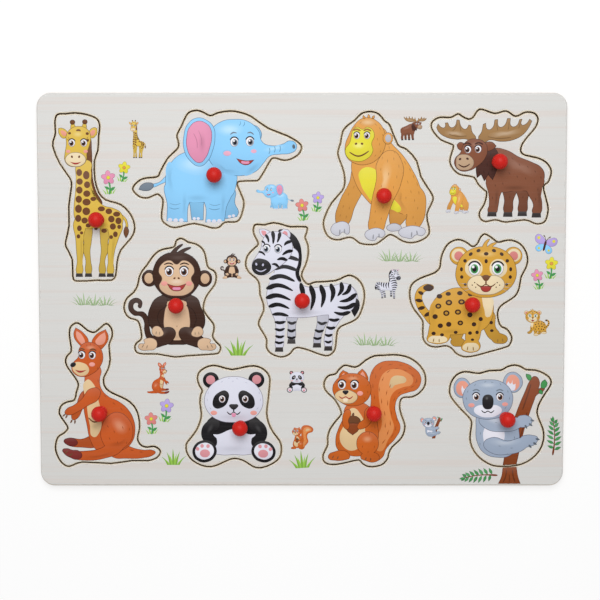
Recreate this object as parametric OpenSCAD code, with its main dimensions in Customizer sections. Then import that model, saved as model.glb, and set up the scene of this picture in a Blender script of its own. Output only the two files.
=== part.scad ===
// Peg puzzle: a printed board with eleven contour-cut animals, each lifted by its own knob.
// Origin: centre of the board's underside. +X along the board, +Z towards the knobs.

/* [Board] */
// Length of the board
board_l = 300; // [294:1:330]
// Depth of the board
board_w = 224; // [218:1:240]
// Radius of the board's four corners
corner_r = 8; // [4:0.5:12]
// Thickness of the plain sheet glued underneath
backing_t = 3; // [2:0.5:5]
// Thickness of the printed sheet that the pieces are cut from
sheet_t = 3; // [2.5:0.5:6]
// Rounding of the printed sheet's upper rim
rim_r = 1; // [0.5:0.1:1.5]
// Rounding of the plain sheet's lower rim
base_rim_r = 0.6; // [0.3:0.1:1]

/* [Cut] */
// Width of the cut between a piece and its recess
cut_w = 0.7; // [0.5:0.1:1.2]
// Largest turn between two facets of a cut, in degrees
cut_turn = 11; // [10:1:25]

/* [Knob] */
// Diameter of the knob's ball
knob_d = 8.8; // [8:0.1:10]
// Diameter of the flange that the knob stands on
flange_d = 7; // [6.4:0.1:8]
// Thickness of the flange
flange_h = 0.9; // [0.6:0.1:1.5]
// Diameter of the neck under the ball
neck_d = 5; // [4.6:0.1:6]
// Length of the neck, from the flange to the ball
neck_l = 3.2; // [2.5:0.1:5]
// Radius of the cove between the flange and the neck
cove_r = 0.8; // [0.4:0.1:1]

/* [Screw] */
// Diameter of the screw's shank
screw_d = 2.4; // [2:0.1:3]
// Length of the screw, from the face of its head to its tip
screw_l = 8; // [7:0.5:9]
// Diameter of the countersunk head
head_d = 4.8; // [4.4:0.1:5]
// Depth of the head's face inside the piece's underside
head_sink = 0.3; // [0.1:0.1:0.5]
// Length of the screw's point
point_l = 1.6; // [1:0.1:2]
// Length of each arm of the cross recess
cross_l = 2.6; // [2:0.1:3]
// Width of the cross recess's arms
cross_w = 0.6; // [0.4:0.1:0.8]
// Depth of the cross recess
cross_h = 0.7; // [0.4:0.1:0.9]
// Radial play of the shank in the piece's hole
hole_play = 0.2; // [0.1:0.05:0.4]
// Radial play of the shank in the knob's bore, before the thread bites
bore_play = 0.05; // [0.05:0.05:0.1]
// Depth left in the knob's bore beyond the screw's tip
bore_spare = 0.8; // [0.4:0.1:1.2]

/* [Animals] */
// Wood kept at both ends of the longest row and the tallest column of animals
land = 3; // [2:0.5:3.5]
// Width of the giraffe's cut line
giraffe_w = 46; // [44:0.5:47]
// Height of the giraffe's cut line
giraffe_h = 95; // [92:0.5:96]
// Width of the elephant's cut line
elephant_w = 95; // [93:0.5:97]
// Height of the elephant's cut line
elephant_h = 66; // [64:0.5:67]
// Width of the gorilla's cut line
gorilla_w = 62; // [60:0.5:64]
// Height of the gorilla's cut line
gorilla_h = 75; // [73:0.5:76]
// Width of the moose's cut line
moose_w = 68; // [66:0.5:70]
// Height of the moose's cut line
moose_h = 64.5; // [62:0.5:66]
// Width of the monkey's cut line
monkey_w = 54.5; // [53:0.5:56]
// Height of the monkey's cut line
monkey_h = 67.5; // [65:0.5:68]
// Width of the zebra's cut line
zebra_w = 67.5; // [66:0.5:69]
// Height of the zebra's cut line
zebra_h = 76.5; // [74:0.5:78]
// Width of the leopard's cut line
leopard_w = 67; // [65:0.5:69]
// Height of the leopard's cut line
leopard_h = 70; // [68:0.5:71]
// Width of the kangaroo's cut line
kangaroo_w = 60; // [58:0.5:61]
// Height of the kangaroo's cut line
kangaroo_h = 82.5; // [80:0.5:83]
// Width of the panda's cut line
panda_w = 54.5; // [53:0.5:56]
// Height of the panda's cut line
panda_h = 59; // [57:0.5:60]
// Width of the squirrel's cut line
squirrel_w = 58.5; // [57:0.5:60]
// Height of the squirrel's cut line
squirrel_h = 64.5; // [62:0.5:65]
// Width of the koala's cut line
koala_w = 58; // [56:0.5:59]
// Height of the koala's cut line
koala_h = 58.5; // [56:0.5:59]

/* [Hidden] */
$fn = 48;
// Overrun of every cut past the face that it opens
over = 0.5;
// Least number of facets between two points of a cut line
span_facets = 2;

// Cut lines: points in hundredths of the piece's width and height, clockwise from the top left
giraffe_line_share = [
    [6, 99], [17, 99.5], [28, 100], [42, 99], [54.5, 96.5], [58, 92], [56.5, 86.5], [55.5, 78],
    [51, 71.5], [51.5, 60.5], [56, 53], [64.5, 48.5], [83.5, 45.5], [96, 39], [100, 31.5],
    [95, 25.5], [82.5, 18.5], [78, 11.5], [76, 3.5], [70, 0.5], [52.5, 0.5], [28, 0], [23, 3],
    [22.5, 13], [15, 20.5], [15, 24.5], [19, 33], [19, 45], [22.5, 56.5], [20.5, 61.5],
    [8.5, 70], [0, 80.5], [3.5, 88], [3, 94.5]] / 100;
elephant_line_share = [
    [34, 98.5], [38.5, 100], [42, 98.5], [46.5, 95.5], [51, 98], [58, 99.5], [63.5, 98.5],
    [70.5, 95], [80.5, 85], [92, 78.5], [100, 71], [99.5, 64], [95.5, 59.5], [90.5, 57.5],
    [84, 59.5], [81, 55], [75.5, 41.5], [71, 40], [63.5, 39.5], [62.5, 35.5], [66, 23.5],
    [65.5, 14.5], [62.5, 5.5], [55, 4.5], [51, 0], [46, 0], [36.5, 3.5], [25.5, 0], [20, 2.5],
    [17, 8.5], [18, 22.5], [16, 27.5], [14, 28.5], [9, 25.5], [4, 26.5], [0, 32.5], [2, 38],
    [6.5, 42], [14.5, 43.5], [16.5, 48], [21, 59.5], [26.5, 67], [27.5, 72], [26.5, 79],
    [29, 86], [31.5, 94]] / 100;
gorilla_line_share = [
    [34.5, 98.5], [43, 100], [50.5, 98], [55.5, 93], [60.5, 89.5], [67.5, 75.5], [76, 71.5],
    [85, 63], [89, 51], [98, 39.5], [100, 33.5], [94.5, 22.5], [97, 10], [92.5, 4.5],
    [82.5, 1.5], [73, 2.5], [62, 7.5], [54.5, 4], [48.5, 0.5], [41, 0], [33.5, 1], [25, 5.5],
    [12.5, 3.5], [4, 6.5], [0, 14.5], [1.5, 21.5], [7.5, 31.5], [17, 40.5], [19.5, 47],
    [18.5, 55], [15.5, 62], [13, 69], [15.5, 76.5], [17.5, 85], [22.5, 90], [28.5, 93.5]] / 100;
moose_line_share = [
    [0, 84.5], [1, 89.5], [7, 93], [16, 93], [22, 96], [25.5, 94], [30.5, 91.5], [34.5, 93],
    [38, 98.5], [42, 100], [52.5, 96.5], [62, 98.5], [70, 94], [78, 97.5], [85.5, 96.5],
    [88.5, 91.5], [86.5, 84.5], [81.5, 78], [76, 70.5], [74.5, 63.5], [78.5, 60], [87.5, 58],
    [95.5, 54], [100, 46.5], [98, 37.5], [94.5, 34], [94, 29.5], [97.5, 16], [97.5, 9.5],
    [95, 2], [88, 0], [78.5, 3.5], [63, 1.5], [54, 3.5], [46, 2], [41.5, 4.5], [40.5, 10],
    [44.5, 17.5], [46.5, 27], [44, 30], [39.5, 34.5], [36, 40.5], [30.5, 42], [23.5, 43.5],
    [18, 48.5], [15.5, 55], [17, 62], [18.5, 68], [16, 70], [8, 73.5], [2.5, 79.5]] / 100;
monkey_line_share = [
    [54.5, 98], [58, 100], [62, 99.5], [67, 97], [74.5, 95.5], [81, 92], [84.5, 86.5],
    [86, 80], [88, 75.5], [94, 72.5], [96, 68], [94.5, 61.5], [90, 56.5], [85, 50.5],
    [82.5, 43.5], [83, 39], [88, 33], [92.5, 28.5], [93.5, 24], [92, 17.5], [95.5, 13],
    [100, 9], [99, 4.5], [93.5, 2.5], [65, 1], [52, 0], [34, 2.5], [20, 2.5], [12.5, 4],
    [10.5, 8.5], [12.5, 12], [17, 15], [17.5, 19.5], [16, 26.5], [13, 31], [4.5, 33.5],
    [0, 39], [0, 45], [3.5, 50.5], [10, 55], [14, 61], [15.5, 67], [18.5, 72.5], [23.5, 77.5],
    [29.5, 84.5], [36, 89.5], [43.5, 91.5], [52, 93]] / 100;
zebra_line_share = [
    [8, 98.5], [16, 98.5], [23.5, 100], [31.5, 98.5], [38, 97], [50.5, 97], [51.5, 93.5],
    [50, 89], [52.5, 83], [52.5, 76], [50.5, 69], [47, 61], [52, 54.5], [59, 56], [75.5, 57],
    [86.5, 61], [94.5, 58], [99, 52], [100, 44], [98, 36], [94.5, 29.5], [88.5, 26],
    [80.5, 23], [77, 18.5], [76, 9.5], [74.5, 4.5], [69.5, 1], [62.5, 2], [53.5, 5], [45, 7],
    [40.5, 6], [36.5, 2], [29.5, 0], [21.5, 2.5], [17.5, 7], [17.5, 13], [15, 17.5],
    [11, 23.5], [11.5, 28], [15, 34.5], [14.5, 40.5], [12, 46.5], [11.5, 54], [9, 58.5],
    [3, 63], [0, 68.5], [1.5, 75.5], [6.5, 80.5], [10.5, 84], [9, 88], [6.5, 93]] / 100;
leopard_line_share = [
    [29, 87], [33, 92.5], [40.5, 95.5], [47.5, 93.5], [53, 90], [57, 92], [60, 97.5],
    [63.5, 100], [68.5, 97.5], [74.5, 93.5], [80, 94.5], [86, 95], [93.5, 92], [98.5, 85.5],
    [100, 78], [98, 71.5], [94.5, 65], [93, 56], [89.5, 49.5], [83.5, 45.5], [77.5, 41.5],
    [75, 36.5], [75.5, 30], [78, 25], [83, 22.5], [87, 16.5], [86, 11], [82.5, 8], [69.5, 4.5],
    [56.5, 1], [47.5, 0], [40.5, 2.5], [36, 7], [31, 9], [22.5, 8], [15.5, 10], [11.5, 16],
    [11.5, 27.5], [9.5, 32], [4.5, 38], [1, 44.5], [0, 52.5], [1.5, 58.5], [6, 62.5],
    [12.5, 65.5], [21, 68.5], [25.5, 73], [26.5, 80.5]] / 100;
kangaroo_line_share = [
    [15.5, 97], [21, 100], [26, 98.5], [31.5, 95], [38, 93.5], [43, 96], [49.5, 99.5],
    [54.5, 96], [55, 90.5], [52, 84.5], [53, 75], [51, 68], [47, 62.5], [47, 57], [51, 53],
    [58.5, 50], [67.5, 47], [75, 42.5], [79.5, 35.5], [80.5, 27], [78.5, 19.5], [81.5, 15],
    [87, 13.5], [94, 14], [99, 12], [100, 9.5], [96.5, 6], [88, 4], [72.5, 4], [53, 2],
    [25.5, 3], [13, 0], [6, 2.5], [1.5, 8], [0, 14], [2.5, 20.5], [8.5, 23.5], [12, 27],
    [8.5, 31.5], [4, 37], [6, 42.5], [11.5, 45], [18.5, 46.5], [20.5, 52], [22.5, 57.5],
    [18.5, 63], [13, 68.5], [10.5, 73], [12, 77], [16, 80.5], [15.5, 86], [14.5, 91.5]] / 100;
panda_line_share = [
    [29, 100], [37, 98.5], [48.5, 96], [61.5, 98.5], [71, 99.5], [79, 97.5], [85.5, 92.5],
    [88, 86], [87, 75], [86, 65.5], [84.5, 54], [86.5, 44], [91.5, 34.5], [98, 26.5],
    [100, 19], [98, 10], [89.5, 3.5], [79, 0], [70.5, 1], [63, 5.5], [55.5, 8.5], [46.5, 8.5],
    [33.5, 3], [25, 1], [15.5, 2.5], [6, 7.5], [0.5, 15], [0, 23], [4, 28.5], [10.5, 36.5],
    [14.5, 45], [16, 53], [14.5, 63.5], [15.5, 71.5], [17, 75.5], [14, 80.5], [12, 87],
    [14, 93.5], [20.5, 98]] / 100;
squirrel_line_share = [
    [1.5, 77], [5.5, 81.5], [12, 83], [15.5, 87], [20.5, 90.5], [25.5, 90], [31, 89], [36, 91],
    [42, 95.5], [50, 99], [58.5, 99.5], [67, 100], [75.5, 99.5], [83.5, 97.5], [91.5, 93],
    [97.5, 86.5], [100, 79.5], [99, 72], [94, 66], [87, 62.5], [79, 62], [75.5, 59],
    [75, 51.5], [77.5, 44], [80, 37], [78.5, 29], [74.5, 23.5], [67.5, 17.5], [64.5, 12.5],
    [63, 7], [58, 2], [50, 0], [43, 0.5], [38.5, 3], [34.5, 6], [22, 3.5], [12.5, 2],
    [4.5, 2.5], [0.5, 5.5], [0, 10.5], [2.5, 15.5], [4.5, 20], [4.5, 27], [7, 34], [12.5, 41],
    [17.5, 46.5], [17, 51], [14, 56.5], [10, 61.5], [4.5, 66], [1, 71]] / 100;
koala_line_share = [
    [0, 75], [1.5, 83], [7, 90.5], [15, 93.5], [23, 92.5], [30, 92], [39, 94.5], [50.5, 95],
    [57, 98.5], [64, 100], [70, 98.5], [75.5, 95.5], [84.5, 95], [92.5, 92], [98.5, 87.5],
    [100, 81.5], [96, 74.5], [91.5, 67.5], [88, 60.5], [86.5, 53.5], [88.5, 46.5], [92, 38.5],
    [93.5, 30], [91.5, 20], [86, 11.5], [77, 4.5], [66.5, 1], [54, 0], [43.5, 1], [34.5, 5.5],
    [27.5, 11.5], [22.5, 19.5], [20.5, 28], [21.5, 37.5], [22, 44], [19, 49], [12, 56],
    [4.5, 64.5], [1, 70]] / 100;

// Places of the pieces' centres, in thousandths of the board's length and depth from its middle
giraffe_at_share = [-393, 237] / 1000;
elephant_at_share = [-161, 308] / 1000;
gorilla_at_share = [144, 285] / 1000;
moose_at_share = [357, 314] / 1000;
monkey_at_share = [-246, -18] / 1000;
zebra_at_share = [6, 2] / 1000;
leopard_at_share = [316, -12] / 1000;
kangaroo_at_share = [-371, -266] / 1000;
panda_at_share = [-130, -322] / 1000;
squirrel_at_share = [138, -307] / 1000;
koala_at_share = [378, -320] / 1000;

// Places of the knobs, in hundredths of the piece's width and height from its lower left
giraffe_knob_share = [55, 36.5] / 100;
elephant_knob_share = [49, 44.5] / 100;
gorilla_knob_share = [54.5, 36.5] / 100;
moose_knob_share = [55.5, 54] / 100;
monkey_knob_share = [55, 44] / 100;
zebra_knob_share = [47.5, 42.5] / 100;
leopard_knob_share = [52, 43] / 100;
kangaroo_knob_share = [44, 38] / 100;
panda_knob_share = [57, 40.5] / 100;
squirrel_knob_share = [49, 49] / 100;
koala_knob_share = [55.5, 48] / 100;

// One row for each animal: name, cut line, place, width and height, place of the knob
ANIMALS = [
    ["giraffe", giraffe_line_share, giraffe_at_share, [giraffe_w, giraffe_h], giraffe_knob_share],
    ["elephant", elephant_line_share, elephant_at_share, [elephant_w, elephant_h],
        elephant_knob_share],
    ["gorilla", gorilla_line_share, gorilla_at_share, [gorilla_w, gorilla_h], gorilla_knob_share],
    ["moose", moose_line_share, moose_at_share, [moose_w, moose_h], moose_knob_share],
    ["monkey", monkey_line_share, monkey_at_share, [monkey_w, monkey_h], monkey_knob_share],
    ["zebra", zebra_line_share, zebra_at_share, [zebra_w, zebra_h], zebra_knob_share],
    ["leopard", leopard_line_share, leopard_at_share, [leopard_w, leopard_h], leopard_knob_share],
    ["kangaroo", kangaroo_line_share, kangaroo_at_share, [kangaroo_w, kangaroo_h],
        kangaroo_knob_share],
    ["panda", panda_line_share, panda_at_share, [panda_w, panda_h], panda_knob_share],
    ["squirrel", squirrel_line_share, squirrel_at_share, [squirrel_w, squirrel_h],
        squirrel_knob_share],
    ["koala", koala_line_share, koala_at_share, [koala_w, koala_h], koala_knob_share]];

// The animals are as large as they are named, or smaller together where the board is too small
row_l = max(giraffe_w + elephant_w + gorilla_w + moose_w, monkey_w + zebra_w + leopard_w,
    kangaroo_w + panda_w + squirrel_w + koala_w);
column_w = max(giraffe_h + kangaroo_h, elephant_h + monkey_h + panda_h,
    gorilla_h + zebra_h + squirrel_h, moose_h + leopard_h + koala_h);
fit = min(1, (board_l - 2 * land) / row_l, (board_w - 2 * land) / column_w);

function name_of(a) = a[0];
function line_of(a) = a[1];
function at_of(a) = [a[2].x * board_l, a[2].y * board_w];
function size_of(a) = a[3] * fit;
function knob_of(a) = at_of(a) + in_box(a, a[4]);
// A point given as shares of an animal's width and height, measured from the piece's centre
function in_box(a, p) = [(p.x - 0.5) * size_of(a).x, (p.y - 0.5) * size_of(a).y];

// Heights, from the underside of the board
piece_z = backing_t;
top_z = backing_t + sheet_t;
head_z = piece_z + head_sink;
head_h = (head_d - screw_d) / 2;
hole_d = screw_d + 2 * hole_play;
bore_d = screw_d + 2 * bore_play;
bore_h = head_z + screw_l + bore_spare - top_z;
// Height of the ball's centre above the piece, where the ball sits on the neck's rim
ball_h = flange_h + neck_l + sqrt(knob_d * knob_d - neck_d * neck_d) / 2;

// A closed smooth curve through an animal's points, moved outwards by grow
function slope(p, i) = (p[(i + 1) % len(p)] - p[(i + len(p) - 1) % len(p)]) / 2;
function turn(a, b) = acos(max(-1, min(1, a * b / (norm(a) * norm(b)))));
function on_span(a, sa, b, sb, t) = a * (2 * t ^ 3 - 3 * t ^ 2 + 1) + sa * (t ^ 3 - 2 * t ^ 2 + t)
    + b * (3 * t ^ 2 - 2 * t ^ 3) + sb * (t ^ 3 - t ^ 2);
function span_slope(a, sa, b, sb, t) = (a - b) * 6 * (t ^ 2 - t) + sa * (3 * t ^ 2 - 4 * t + 1)
    + sb * (3 * t ^ 2 - 2 * t);
function outward(s) = [-s.y, s.x] / norm(s);
function curve(p, grow) = [
    for (i = [0 : len(p) - 1])
        let (a = p[i], b = p[(i + 1) % len(p)], sa = slope(p, i), sb = slope(p, (i + 1) % len(p)),
            facets = max(span_facets, ceil((turn(sa, b - a) + turn(b - a, sb)) / cut_turn)))
            for (k = [0 : facets - 1])
                let (t = k / facets)
                    on_span(a, sa, b, sb, t) + outward(span_slope(a, sa, b, sb, t)) * grow];
function cut_line(a, grow) = curve([for (p = line_of(a)) at_of(a) + in_box(a, p)], grow);

// Outline of the board, moved inwards by inset
module board_outline(inset = 0) {
    for (sx = [-1, 1], sy = [-1, 1])
        translate([sx * (board_l / 2 - corner_r), sy * (board_w / 2 - corner_r)])
            circle(corner_r - inset);
    square([board_l - 2 * inset, board_w - 2 * corner_r], center = true);
    square([board_l - 2 * corner_r, board_w - 2 * inset], center = true);
}

// The quarter-round bead of radius r that runs along the board's four sides and corners
module rim_bead(r) {
    module quarter() intersection() { circle(r); square(r); }
    for (i = [0 : 3]) {
        half = (i % 2 == 0 ? [board_l, board_w] : [board_w, board_l]) / 2;
        rotate(90 * i) {
            translate([half.x - r, half.y - corner_r, 0]) rotate([90, 0, 0])
                linear_extrude(2 * (half.y - corner_r)) quarter();
            translate([half.x - corner_r, half.y - corner_r, 0])
                rotate_extrude(angle = 90) translate([corner_r - r, 0]) quarter();
        }
    }
}

// A sheet of the board's outline, whose upper rim is rounded with radius r
module eased_sheet(t, r) {
    linear_extrude(t - r) board_outline();
    translate([0, 0, t - r]) {
        linear_extrude(r) board_outline(r);
        rim_bead(r);
    }
}

// The plain sheet that closes the recesses from below
module backing_board() color([0.80, 0.70, 0.55])
    translate([0, 0, backing_t]) mirror([0, 0, 1]) eased_sheet(backing_t, base_rim_r);

// The printed sheet, with a window for each animal
module frame_board() color([0.86, 0.85, 0.83]) difference() {
    translate([0, 0, piece_z]) eased_sheet(sheet_t, rim_r);
    for (a = ANIMALS)
        translate([0, 0, piece_z - over]) linear_extrude(sheet_t + 2 * over)
            polygon(cut_line(a, cut_w / 2));
}

// An animal cut from the same sheet, drilled and countersunk from below for its knob's screw
module piece(a) color([0.93, 0.90, 0.84]) difference() {
    translate([0, 0, piece_z]) linear_extrude(sheet_t) polygon(cut_line(a, -cut_w / 2));
    translate(knob_of(a)) {
        translate([0, 0, piece_z - over]) cylinder(h = head_sink + over, d = head_d);
        translate([0, 0, head_z]) cylinder(h = head_h, d1 = head_d, d2 = screw_d);
        translate([0, 0, head_z]) cylinder(h = sheet_t + over, d = hole_d);
    }
}

// A ball knob on a neck and a flange, turned as one, with a blind bore for the screw
module knob(a) color([0.80, 0.10, 0.08]) translate([knob_of(a).x, knob_of(a).y, top_z])
    rotate_extrude() difference() {
        union() {
            square([flange_d / 2, flange_h]);
            square([neck_d / 2, ball_h]);
            translate([0, flange_h]) difference() {
                square([neck_d / 2 + cove_r, cove_r]);
                translate([neck_d / 2 + cove_r, cove_r]) circle(cove_r);
            }
            translate([0, ball_h]) intersection() {
                circle(d = knob_d);
                translate([0, -knob_d / 2]) square([knob_d / 2, knob_d]);
            }
        }
        translate([0, -over]) square([bore_d / 2, bore_h + over]);
    }

// A countersunk screw with a cross recess, driven from below
module screw(a) color([0.72, 0.72, 0.70]) translate([knob_of(a).x, knob_of(a).y, head_z])
    difference() {
        union() {
            cylinder(h = head_h, d1 = head_d, d2 = screw_d);
            cylinder(h = screw_l - point_l, d = screw_d);
            translate([0, 0, screw_l - point_l]) cylinder(h = point_l, d1 = screw_d, d2 = 0);
        }
        for (arm = [[cross_l, cross_w], [cross_w, cross_l]])
            translate([-arm.x / 2, -arm.y / 2, -over]) cube([arm.x, arm.y, cross_h + over]);
    }

backing_board();
frame_board();
for (a = ANIMALS) {
    piece(a);
    knob(a);
    screw(a);
}
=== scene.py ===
"""Looks of the peg puzzle: the printed and scorched boards, the animal pictures, the knobs and the stage."""

from math import atan2, cos, hypot, pi, radians, sin

import bmesh
import bpy
from bpy.props import FloatProperty, FloatVectorProperty, IntProperty, PointerProperty
from mathutils import Matrix, Vector


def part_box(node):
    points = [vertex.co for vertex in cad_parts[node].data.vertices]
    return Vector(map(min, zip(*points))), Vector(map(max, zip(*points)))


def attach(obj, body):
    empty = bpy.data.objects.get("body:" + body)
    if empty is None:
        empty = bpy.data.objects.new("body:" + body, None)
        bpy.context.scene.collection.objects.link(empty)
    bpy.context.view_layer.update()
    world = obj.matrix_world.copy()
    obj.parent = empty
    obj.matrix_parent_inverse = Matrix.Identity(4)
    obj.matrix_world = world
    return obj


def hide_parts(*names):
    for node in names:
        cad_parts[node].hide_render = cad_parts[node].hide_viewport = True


bl_info = {
    "name": "Peg puzzle looks",
    "version": (1, 0, 0),
    "blender": (4, 5, 0),
    "location": "View3D > Sidebar > Puzzle",
    "description": "Dresses the packed peg puzzle: boards, animal pictures, knobs, screws and stage",
    "category": "Object",
}

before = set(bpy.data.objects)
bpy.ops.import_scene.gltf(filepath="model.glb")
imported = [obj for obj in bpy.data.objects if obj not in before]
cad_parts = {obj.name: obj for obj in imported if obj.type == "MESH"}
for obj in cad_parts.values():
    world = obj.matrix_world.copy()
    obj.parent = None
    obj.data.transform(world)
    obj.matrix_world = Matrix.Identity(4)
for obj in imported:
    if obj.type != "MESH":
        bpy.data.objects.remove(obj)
MM = 0.001
ANIMALS = ["giraffe", "elephant", "gorilla", "moose", "monkey", "zebra", "leopard", "kangaroo", "panda",
           "squirrel", "koala"]
BOARD_HIGH = Vector(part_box("frame_board")[1])
PRINT_Z = BOARD_HIGH.z
# the tint for the walls' painted light makes cut walls paler along the lower side of each cut
TINTS = {
    "fibre": "9B9490", "dust": "FFFFFF", "toasted wood": "80684A", "burnt ply": "2A1D12",
    "burnt glue": "1E150E", "wall_painted_light": "BCA88C", "veneer line": "C6A677", "veneer pore": "A5824F",
    "ply end": "7C5C38", "glue": "6B4C2C", "worn red": "D23A2A", "dull zinc": "9A9B96", "airbrush": "8C8496",
    "floor dust": "EDEDED",
}


def linear(colour):
    """A colour written as hex digits, as the scene-linear values that Blender works in."""
    parts = [int(colour[i:i + 2], 16) / 255 for i in (0, 2, 4)]
    return [c / 12.92 if c <= 0.04045 else ((c + 0.055) / 1.055) ** 2.4 for c in parts]


def colour_setting(name, description, colour):
    """A setting for a colour, whose default is written as hex digits."""
    return FloatVectorProperty(name=name, description=description, default=linear(colour), size=3, min=0,
                               max=1, subtype="COLOR")


def size_setting(name, description, millimetres):
    """A setting for a length, whose default is written in millimetres."""
    return FloatProperty(name=name, description=description, default=millimetres * MM, min=0, precision=5,
                         unit="LENGTH", subtype="DISTANCE")


class PuzzleSizes(bpy.types.PropertyGroup):
    """Sizes of the worked edges, the print and the knobs"""
    edge_round: size_setting("Worn cut edge", "Rounding of the upper edge of every cut", 0.16)
    halo: size_setting("Heat halo", "Width of the print that the hot cut has tinted", 0.9)
    film: size_setting("Ink film", "Height of one printed layer over the next", 0.008)
    ink_root: size_setting("Ink root", "Depth that the ink reaches into the sheet", 0.04)
    outline: size_setting("Outline", "Width of the drawn outlines", 0.26)
    knob_d: size_setting("Knob", "Diameter of the knob's ball", 8.8)
    neck_d: size_setting("Neck", "Diameter of the neck under the ball", 5)
    cove: size_setting("Cove", "Radius of the cove between flange and neck", 0.8)
    flange_d: size_setting("Flange", "Diameter of the flange", 7)
    flange_h: size_setting("Flange height", "Thickness of the flange", 0.9)
    bore_d: size_setting("Bore", "Diameter of the screw's bore in the knob", 2.5)
    bore_h: size_setting("Bore depth", "Depth of the screw's bore in the knob", 6.1)
    knob_steps: IntProperty(name="Knob facets", description="Facets round a knob", default=56, min=12)


class PuzzleColours(bpy.types.PropertyGroup):
    """Colours of the wood, the print's ground and the knobs"""
    ground: colour_setting("Print ground", "Pale ground of the print", "D4D3D0")
    streak: colour_setting("Print streak", "Rosy streaks printed in the ground", "D6C8C0")
    halo: colour_setting("Heat halo", "Print beside a cut, tinted by the heat", "E6D6B6")
    # this colour is the burnt wood of the cuts and also the painted shade on the upper side of each cut and
    # on the board's lower edge
    scorch_and_shade: colour_setting("Scorch", "Burnt wood in the cut", "5E4E40")
    ply: colour_setting("Veneer", "Bare sanded veneer", "D9C19A")
    core: colour_setting("Core ply", "End grain of the middle ply", "B08B5C")
    knob: colour_setting("Knob", "Red plastic of the knobs", "C81D15")
    zinc: colour_setting("Zinc", "Zinc plating of the screws", "C6C8C8")
    floor: colour_setting("Floor", "Plain floor", "FFFFFF")


# Shader building


def node(tree, kind, inputs=None, **settings):
    """A shader node with its settings, and its inputs either linked from a socket or set to a value."""
    made = tree.nodes.new("ShaderNode" + kind)
    for name, value in settings.items():
        setattr(made, name, value)
    for name, value in (inputs or {}).items():
        if isinstance(value, bpy.types.NodeSocket):
            tree.links.new(value, made.inputs[name])
        else:
            made.inputs[name].default_value = value
    return made


def mixed(tree, amount, below, above, blend="MIX"):
    """Colour below, covered by colour above as far as amount says."""
    return node(tree, "Mix", {0: amount, 6: below, 7: above}, data_type="RGBA", blend_type=blend).outputs[2]


def remapped(tree, value, low, high, to_low=0.0, to_high=1.0):
    """A value stretched smoothly from one range to another."""
    return node(tree, "MapRange", {"Value": value, "From Min": low, "From Max": high, "To Min": to_low,
                                   "To Max": to_high}, interpolation_type="SMOOTHSTEP").outputs["Result"]


def worked(tree, operation, *values):
    """The result of one sum on values or sockets."""
    return node(tree, "Math", dict(enumerate(values)), operation=operation).outputs[0]


def opaque(colour):
    """A colour with full cover."""
    return (*colour, 1)


def tint(name):
    """One of the fixed tints of the finishes."""
    return opaque(linear(TINTS[name]))


def new_group(name, inputs, outputs):
    """An empty node group with named sockets, its input node and its output node."""
    tree = bpy.data.node_groups.new(name, "ShaderNodeTree")
    for label, (kind, value) in inputs.items():
        socket = tree.interface.new_socket(label, in_out="INPUT", socket_type="NodeSocket" + kind)
        if value is not None:
            socket.default_value = value
    for label, kind in outputs.items():
        tree.interface.new_socket(label, in_out="OUTPUT", socket_type="NodeSocket" + kind)
    return tree, tree.nodes.new("NodeGroupInput").outputs, tree.nodes.new("NodeGroupOutput").inputs


def wood_grain():
    """Group: the long fine lines of a veneer, as a value from 0 to 1. Across and Along count to the metre."""
    if "wood grain" in bpy.data.node_groups:
        return bpy.data.node_groups["wood grain"]
    tree, given, out = new_group(
        "wood grain", {"Place": ("Vector", None), "Across": ("Float", 900.0), "Along": ("Float", 14.0),
                       "Warp": ("Float", 0.6)}, {"Grain": "Float"})
    scale = node(tree, "CombineXYZ", {"X": given["Along"], "Y": given["Across"], "Z": given["Across"]})
    place = node(tree, "VectorMath", {0: given["Place"], 1: scale.outputs[0]}, operation="MULTIPLY")
    lines = node(tree, "TexNoise", {"Vector": place.outputs[0], "Scale": 1.0, "Detail": 5.0,
                                    "Roughness": 0.62, "Distortion": given["Warp"]})
    tree.links.new(remapped(tree, lines.outputs[0], 0.3, 0.7), out["Grain"])
    return tree


PLY_WAVE = 0.00022  # rise and fall of the glue lines, in metres
PLIES = 3.0
GLUE_PLACE = 0.17  # distance of a glue line from the middle of the sheet, as a share of its thickness


def ply_layers():
    """Group: the plies of a sheet by height, as a mask of the middle ply and one of the glue lines."""
    if "ply layers" in bpy.data.node_groups:
        return bpy.data.node_groups["ply layers"]
    tree, given, out = new_group("ply layers", {"Place": ("Vector", None), "Ply": ("Float", 0.001)},
                                 {"Middle": "Float", "Glue": "Float"})
    parts = node(tree, "SeparateXYZ", {0: given["Place"]})
    wave = node(tree, "TexNoise", {"Vector": given["Place"], "Scale": 160.0, "Detail": 2.0})
    waved = worked(tree, "MULTIPLY_ADD", wave.outputs[0], PLY_WAVE, parts.outputs["Z"])
    layer = worked(tree, "DIVIDE", worked(tree, "SUBTRACT", waved, PLY_WAVE / 2), given["Ply"])
    sheet = worked(tree, "FRACT", worked(tree, "DIVIDE", layer, PLIES))
    within = worked(tree, "ABSOLUTE", worked(tree, "SUBTRACT", sheet, 0.5))
    tree.links.new(remapped(tree, within, 0.19, 0.155), out["Middle"])
    line = worked(tree, "ABSOLUTE", worked(tree, "SUBTRACT", within, GLUE_PLACE))
    tree.links.new(remapped(tree, line, 0.035, 0.0), out["Glue"])
    return tree


FINE_SPECKS, BROAD_SPECKS = 0.6, 0.4  # shares of the two in the specks


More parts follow.
